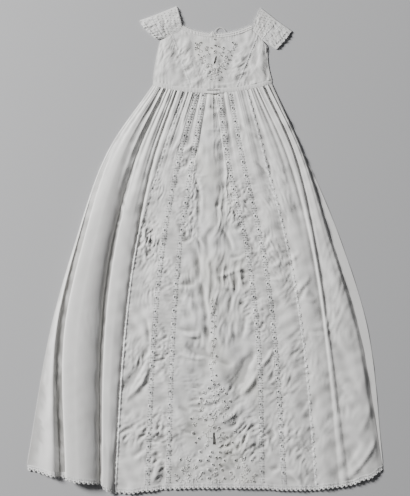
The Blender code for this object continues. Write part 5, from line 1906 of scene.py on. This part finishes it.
@dataclass
class Sleeves:
    """Two short sleeves folded over their top edge, each with a gathered frill, and the neck edge's loops."""

    shop: Workshop
    radius: float = 0.75
    front_z: float = 2.1
    back_z: float = 0.6
    fold_share: float = 0.12
    puff: float = 1.8
    waves: int = 6
    wave_height: float = 1.4
    loop_pitch: float = 2.8
    loop_radius: float = 0.27

    # Holes of the sleeves and of the frills, these by column and shift
    DOT = Eyelet(2, 2, 0.85, 0.3, 0.4)
    FRILL_HOLES = (
        (0, 0, Eyelet(1, 2, 0.85, 0.25, 0.3)),
        (4, 1, Eyelet(1, 2, 0.75, 0.25, 0.3)),
        (7, 0, Eyelet(1, 2, 0.75, 0.25, 0.3)),
    )
    FRILL_EYELET = Eyelet(2, 4, 1.4, 0.5, 0.5)

    def section(self, lower: Array, upper: Array, b: Array, rise: Array) -> Array:
        """Points round a flattened sleeve: up its front, over the fold at b 0.5 and down its back."""
        span = upper - lower
        length = np.linalg.norm(span, axis=1)
        along = span / length[:, None]
        reach = length - self.radius
        straight = 0.5 - self.fold_share
        turn = np.clip((b - 0.5) / self.fold_share, -1.0, 1.0) * 0.5 * math.pi
        share = np.where(b < 0.5, np.minimum(b / straight, 1.0), np.minimum((1.0 - b) / straight, 1.0))
        out = reach * share + self.radius * np.cos(turn) * (share >= 1.0)
        z = 0.5 * (self.front_z + self.back_z) - self.radius * np.sin(turn) + rise
        return np.column_stack((lower + along * out[:, None], z))

    def sleeve(self, lines: SleeveLines) -> Surface:
        """The sleeve from its neck edge at u 0 to the frill's seam at u 1, v round its section."""
        crumple = Crumple(seed=31 + len(lines.name), waves=16, shortest=8.0, longest=34.0, height=1.0)
        noise = Lattice(seed=80 + len(lines.name))

        def surface(u: Array, v: Array) -> Array:
            lower = lines_between(lines.neck_seam, lines.cuff_seam, u)
            upper = lines_between(lines.neck_fold, lines.cuff_seam_fold, u)
            share = np.minimum(v / (0.5 - self.fold_share), 1.0)
            front = np.sin(math.pi * share)
            wander = math.tau * u * 6.0 + 1.2 * np.sin(9.0 * u)
            wrinkle = 0.45 * np.sin(wander) * np.exp(-share / 0.35) * front
            plan = self.section(lower, upper, v, self.puff * front)
            fine = 1.5 * (0.3 - np.abs(noise(3.2 * u, 5.0 * share + 1.3 * u)))
            lift = (crumple.height(plan[:, 0], plan[:, 1]) + fine) * front + wrinkle
            return plan + np.column_stack((np.zeros((u.size, 2)), lift * (v < 0.5)))

        return surface

    def frill(self, lines: SleeveLines) -> Surface:
        """The frill from its seam at u 0 to its scalloped free edge at u 1.

        Its flutes run from seam to edge. Their phase wanders along the frill, so that no two are alike, and
        a noise drawn out along them adds finer wrinkles.
        """
        side = -1.0 if lines.cuff_fold[0] < lines.neck_fold[0] else 1.0
        noise = Lattice(seed=70 + len(lines.name))

        def surface(u: Array, v: Array) -> Array:
            lower = lines_between(lines.cuff_seam, lines.cuff_under, u)
            upper = lines_between(lines.cuff_seam_fold, lines.cuff_fold, u)
            share = np.minimum(v / (0.5 - self.fold_share), 1.0)
            front = np.sin(math.pi * share)
            phase = math.tau * self.waves * share + 2.4 * np.sin(6.0 * share)
            phase += 1.5 * np.sin(15.0 * share + 3.6 * u)
            flute = (0.7 + 0.3 * np.sin(11.0 * share + 1.0)) * (1.0 - np.cos(phase)) / 2
            wrinkle = 3.6 * (0.25 - np.abs(noise(2.4 * u + 3.1, 7.0 * share + 2.2 * u)))
            wave = self.wave_height * (0.35 + 0.65 * u) * flute + wrinkle
            wave = wave * (v < 0.5) * np.minimum(front * 4.0, 1.0)
            bulge = side * lines.bulge * u * np.sin(math.tau * np.minimum(v, 1.0 - v))
            edge = np.clip((u - 0.7) / 0.3, 0.0, 1.0)
            scallop = side * 1.7 * (np.abs(np.sin(math.pi * 15.0 * v)) - 0.6) * edge
            plan = self.section(lower, upper, v, self.puff * front * (v < 0.5) + wave)
            return plan + np.column_stack((bulge + scallop, np.zeros((u.size, 2))))

        return surface

    def around(self, front: int, fold: int, back: int) -> Array:
        """Shares round a section: front, fold and back each with their own number of steps."""
        straight = 0.5 - self.fold_share
        return np.concatenate(
            (
                np.linspace(0.0, straight, front, endpoint=False),
                np.linspace(straight, 1.0 - straight, fold, endpoint=False),
                np.linspace(1.0 - straight, 1.0, back + 1),
            )
        )

    def one(self, lines: SleeveLines) -> None:
        """One sleeve with its frill."""
        body = sheet_grid(self.sleeve(lines), np.linspace(0.0, 1.0, 40), self.around(44, 8, 14))
        dots = np.arange(3, 40, 5)
        for column, shift in ((2, 0), (9, 2), (16, 0), (23, 2), (30, 0), (36, 1)):
            body.pierce(np.full(dots.size, column), dots + shift, self.DOT)
        node = f"sleeve_{lines.name}"
        made = self.shop.piece(node + "_cloth", body.parts(), Slot.LAWN, [node])
        frill = sheet_grid(self.frill(lines), np.linspace(0.0, 1.0, 16), self.around(48, 8, 24))
        for column, shift, eyelet in self.FRILL_HOLES:
            rows = np.arange(1, 45, 3) + shift
            frill.pierce(np.full(rows.size, column), rows, eyelet)
        wide = np.arange(2, 42, 5)
        frill.pierce(np.full(wide.size, 11), wide, self.FRILL_EYELET)
        node = f"sleeve_frill_{lines.name}"
        made = self.shop.piece(node + "_openwork", frill.parts(), Slot.EDGING, [node])

    def loops(self, path: Array, height: float) -> MeshParts:
        """A row of small thread loops that stand out to the left of a path.

        Each loop is half a circle: its foot moves along the path with 1 minus the cosine of the turn and
        its height is the sine.

        Args:
            path: points of the edge that the loops grow from.
            height: how far they stand out in millimetres.

        Returns:
            Their mesh.
        """
        step = np.linalg.norm(np.diff(path, axis=0), axis=1)
        along = np.concatenate(((0.0,), np.cumsum(step)))
        count = int(along[-1] / self.loop_pitch)
        turn = np.linspace(0.0, math.pi, 9)
        pitch = along[-1] / count
        place = np.arange(count)[:, None] * pitch + pitch * (0.5 - 0.46 * np.cos(turn))
        foot = np.stack([np.interp(place, along, path[:, k]) for k in range(3)], axis=-1)
        run = np.stack([np.interp(place + 0.3, along, path[:, k]) for k in range(2)], axis=-1) - foot[..., :2]
        run /= np.maximum(np.linalg.norm(run, axis=-1), 1e-6)[..., None]
        out = np.stack((-run[..., 1], run[..., 0]), axis=-1)
        foot[..., :2] += out * (height * np.sin(turn))[None, :, None]
        foot[..., 2] += 0.15 * np.sin(turn)
        return MeshParts.joined([tubes(foot, self.loop_radius), tubes(path[None], self.loop_radius * 1.35)])

    def neck_edge(self) -> None:
        """The loops along the neck and up both sleeves' neck edges."""
        x = np.linspace(NECK_LEFT, NECK_RIGHT, 120)
        neck = np.column_stack((x, neck_y(x) - 2.6, np.full(x.size, BAND_Z + 0.2)))
        parts = [self.loops(neck, 2.3)]
        for lines in SLEEVES:
            share = np.linspace(0.0, 0.36, 40)
            edge = self.sleeve(lines)(np.zeros(share.size), share)
            edge[:, 2] += 0.2
            inwards = edge if lines.name == "right" else edge[::-1]
            parts.append(self.loops(inwards, 2.0))
        lace = MeshParts.joined(parts)
        self.shop.piece("neck_lace_loops", lace, Slot.EDGING, ["neck_lace_front"], sheet=0.0)

    def build(self) -> None:
        """Makes both sleeves and the neck edge."""
        for lines in SLEEVES:
            self.one(lines)
        self.neck_edge()


def lines_between(a: Sequence[float], b: Sequence[float], share: Array) -> Array:
    """Plan points between two plan points."""
    return np.asarray(a, float) + (np.asarray(b, float) - np.asarray(a, float)) * share[:, None]


@dataclass
class NeckString:
    """The drawstring's loop above the neck edge and the folded tape end on the band."""

    shop: Workshop
    left_x: float = 21.0
    width: float = 21.0
    height: float = 9.0
    droop: float = 1.6
    diameter: float = 1.0
    steps: int = 24
    tab_left: float = 8.4
    tab_right: float = 23.1
    tab_low: float = 447.3
    tab_height: float = 10.5
    tab_tip: float = 2.0

    def loop(self) -> None:
        """The loop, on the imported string's own route: half a turn that droops towards its middle."""
        turn = np.linspace(0.0, math.pi, self.steps)
        x = self.left_x + 0.5 * self.width * (1.0 - np.cos(turn))
        y = neck_y(x) + 0.3 + 0.5 * self.diameter + self.height * np.sin(turn)
        z = BAND_Z - self.droop * np.sin(turn)
        route = np.column_stack((x, y - CENTRE_Y, z)) * MM
        curve = bpy.data.curves.new("neck_drawstring_cord", "CURVE")
        curve.dimensions = "3D"
        curve.bevel_depth = 0.5 * self.diameter * MM
        curve.bevel_resolution = 3
        curve.use_fill_caps = True
        spline = curve.splines.new("POLY")
        spline.points.add(self.steps - 1)
        spline.points.foreach_set("co", np.column_stack((route, np.ones(self.steps))).ravel())
        made = bpy.data.objects.new("neck_drawstring_cord", curve)
        bpy.context.scene.collection.objects.link(made)
        curve.materials.append(self.shop.finishes[Slot.DRAWSTRING])
        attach(made, "root")
        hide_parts("neck_drawstring")

    def tab(self) -> None:
        """The folded tape end: a strip that narrows to its tip, its left half doubled over."""
        middle, half = 0.5 * (self.tab_left + self.tab_right), 0.5 * (self.tab_right - self.tab_left)

        def surface(u: Array, v: Array) -> Array:
            reach = half + (0.5 * self.tab_tip - half) * v
            fold = 0.55 * np.exp(-(((u - 0.42) / 0.16) ** 2)) * (1.0 - 0.4 * v)
            z = BAND_Z + 1.25 + fold + 0.25 * np.sin(math.pi * v)
            x = middle - reach + 2.0 * reach * u
            return np.stack((x, self.tab_low + self.tab_height * v, z), axis=-1)

        grid = sheet_grid(surface, np.linspace(0.0, 1.0, 22), np.linspace(0.0, 1.0, 14))
        made = self.shop.piece("neck_tape_tab_cloth", grid.parts(), Slot.DRAWSTRING, ["neck_tape_tab"])

    def build(self) -> None:
        """Makes the loop and the tape end."""
        self.loop()
        self.tab()


class Studio:
    """Camera, floor and lights."""

    PHOTO_HEIGHT = 496
    MM_PER_PIXEL = 2.1
    CAMERA_HEIGHT = 3.2
    SENSOR = 24.0
    FLOOR_HALF, FLOOR_COLOUR = 4.0, (0.48, 0.48, 0.485, 1.0)
    SKY_COLOUR, SKY_STRENGTH = (0.85, 0.88, 0.95, 1.0), 0.07

    # Each light's name, place and size in metres and power in watts
    LIGHTS = (("key_left", (-4.4, 2.4, 2.5), 1.5, 740.0), ("fill_top", (1.2, -1.4, 2.6), 2.2, 2.5))

    def camera(self) -> None:
        """A camera straight above the middle of the photograph's frame."""
        data = bpy.data.cameras.new("camera")
        data.sensor_fit = "VERTICAL"
        data.sensor_height = self.SENSOR
        seen = self.PHOTO_HEIGHT * self.MM_PER_PIXEL * MM
        data.lens = self.SENSOR * self.CAMERA_HEIGHT / seen
        made = bpy.data.objects.new("camera", data)
        made.location = (0.0, (1.5 * self.MM_PER_PIXEL - CENTRE_Y) * MM, self.CAMERA_HEIGHT)
        bpy.context.scene.collection.objects.link(made)
        bpy.context.scene.camera = made

    def floor(self) -> None:
        """A plain pale floor."""
        mesh = bpy.data.meshes.new("floor")
        corner = self.FLOOR_HALF
        round_it = [(-corner, -corner, 0), (corner, -corner, 0), (corner, corner, 0), (-corner, corner, 0)]
        mesh.from_pydata(round_it, [], [(0, 1, 2, 3)])
        made = bpy.data.objects.new("floor", mesh)
        bpy.context.scene.collection.objects.link(made)
        book = ShaderBook("floor")
        book.shader.inputs["Base Color"].default_value = self.FLOOR_COLOUR
        book.shader.inputs["Roughness"].default_value = 0.9
        mesh.materials.append(book.material)

    def light(self, name: str, spot: Sequence[float], size: float, power: float) -> None:
        """A square soft light aimed at the gown."""
        data = bpy.data.lights.new(name, "AREA")
        data.size = size
        data.energy = power
        made = bpy.data.objects.new(name, data)
        made.location = spot
        distance = float(np.linalg.norm(spot))
        made.rotation_euler = (math.acos(spot[2] / distance), 0.0, math.atan2(spot[0], -spot[1]))
        bpy.context.scene.collection.objects.link(made)

    def build(self) -> None:
        """Sets up everything that isn't the gown."""
        self.camera()
        self.floor()
        for light in self.LIGHTS:
            self.light(*light)
        world = bpy.data.worlds.new("studio")
        world.use_nodes = True
        sky = world.node_tree.nodes["Background"]
        sky.inputs["Color"].default_value = self.SKY_COLOUR
        sky.inputs["Strength"].default_value = self.SKY_STRENGTH
        bpy.context.scene.world = world


def main() -> None:
    logging.basicConfig(level=logging.INFO, format="%(name)s: %(message)s")
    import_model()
    Studio().build()
    shop = Workshop({slot: cotton(finish) for slot, finish in FINISHES.items()})
    NeckString(shop).build()
    Skirt(shop, SkirtFront(FOLDS)).build()
    Bodice(shop, BodiceFront(BODICE)).build()
    Sleeves(shop).build()


if __name__ == "__main__":
    main()
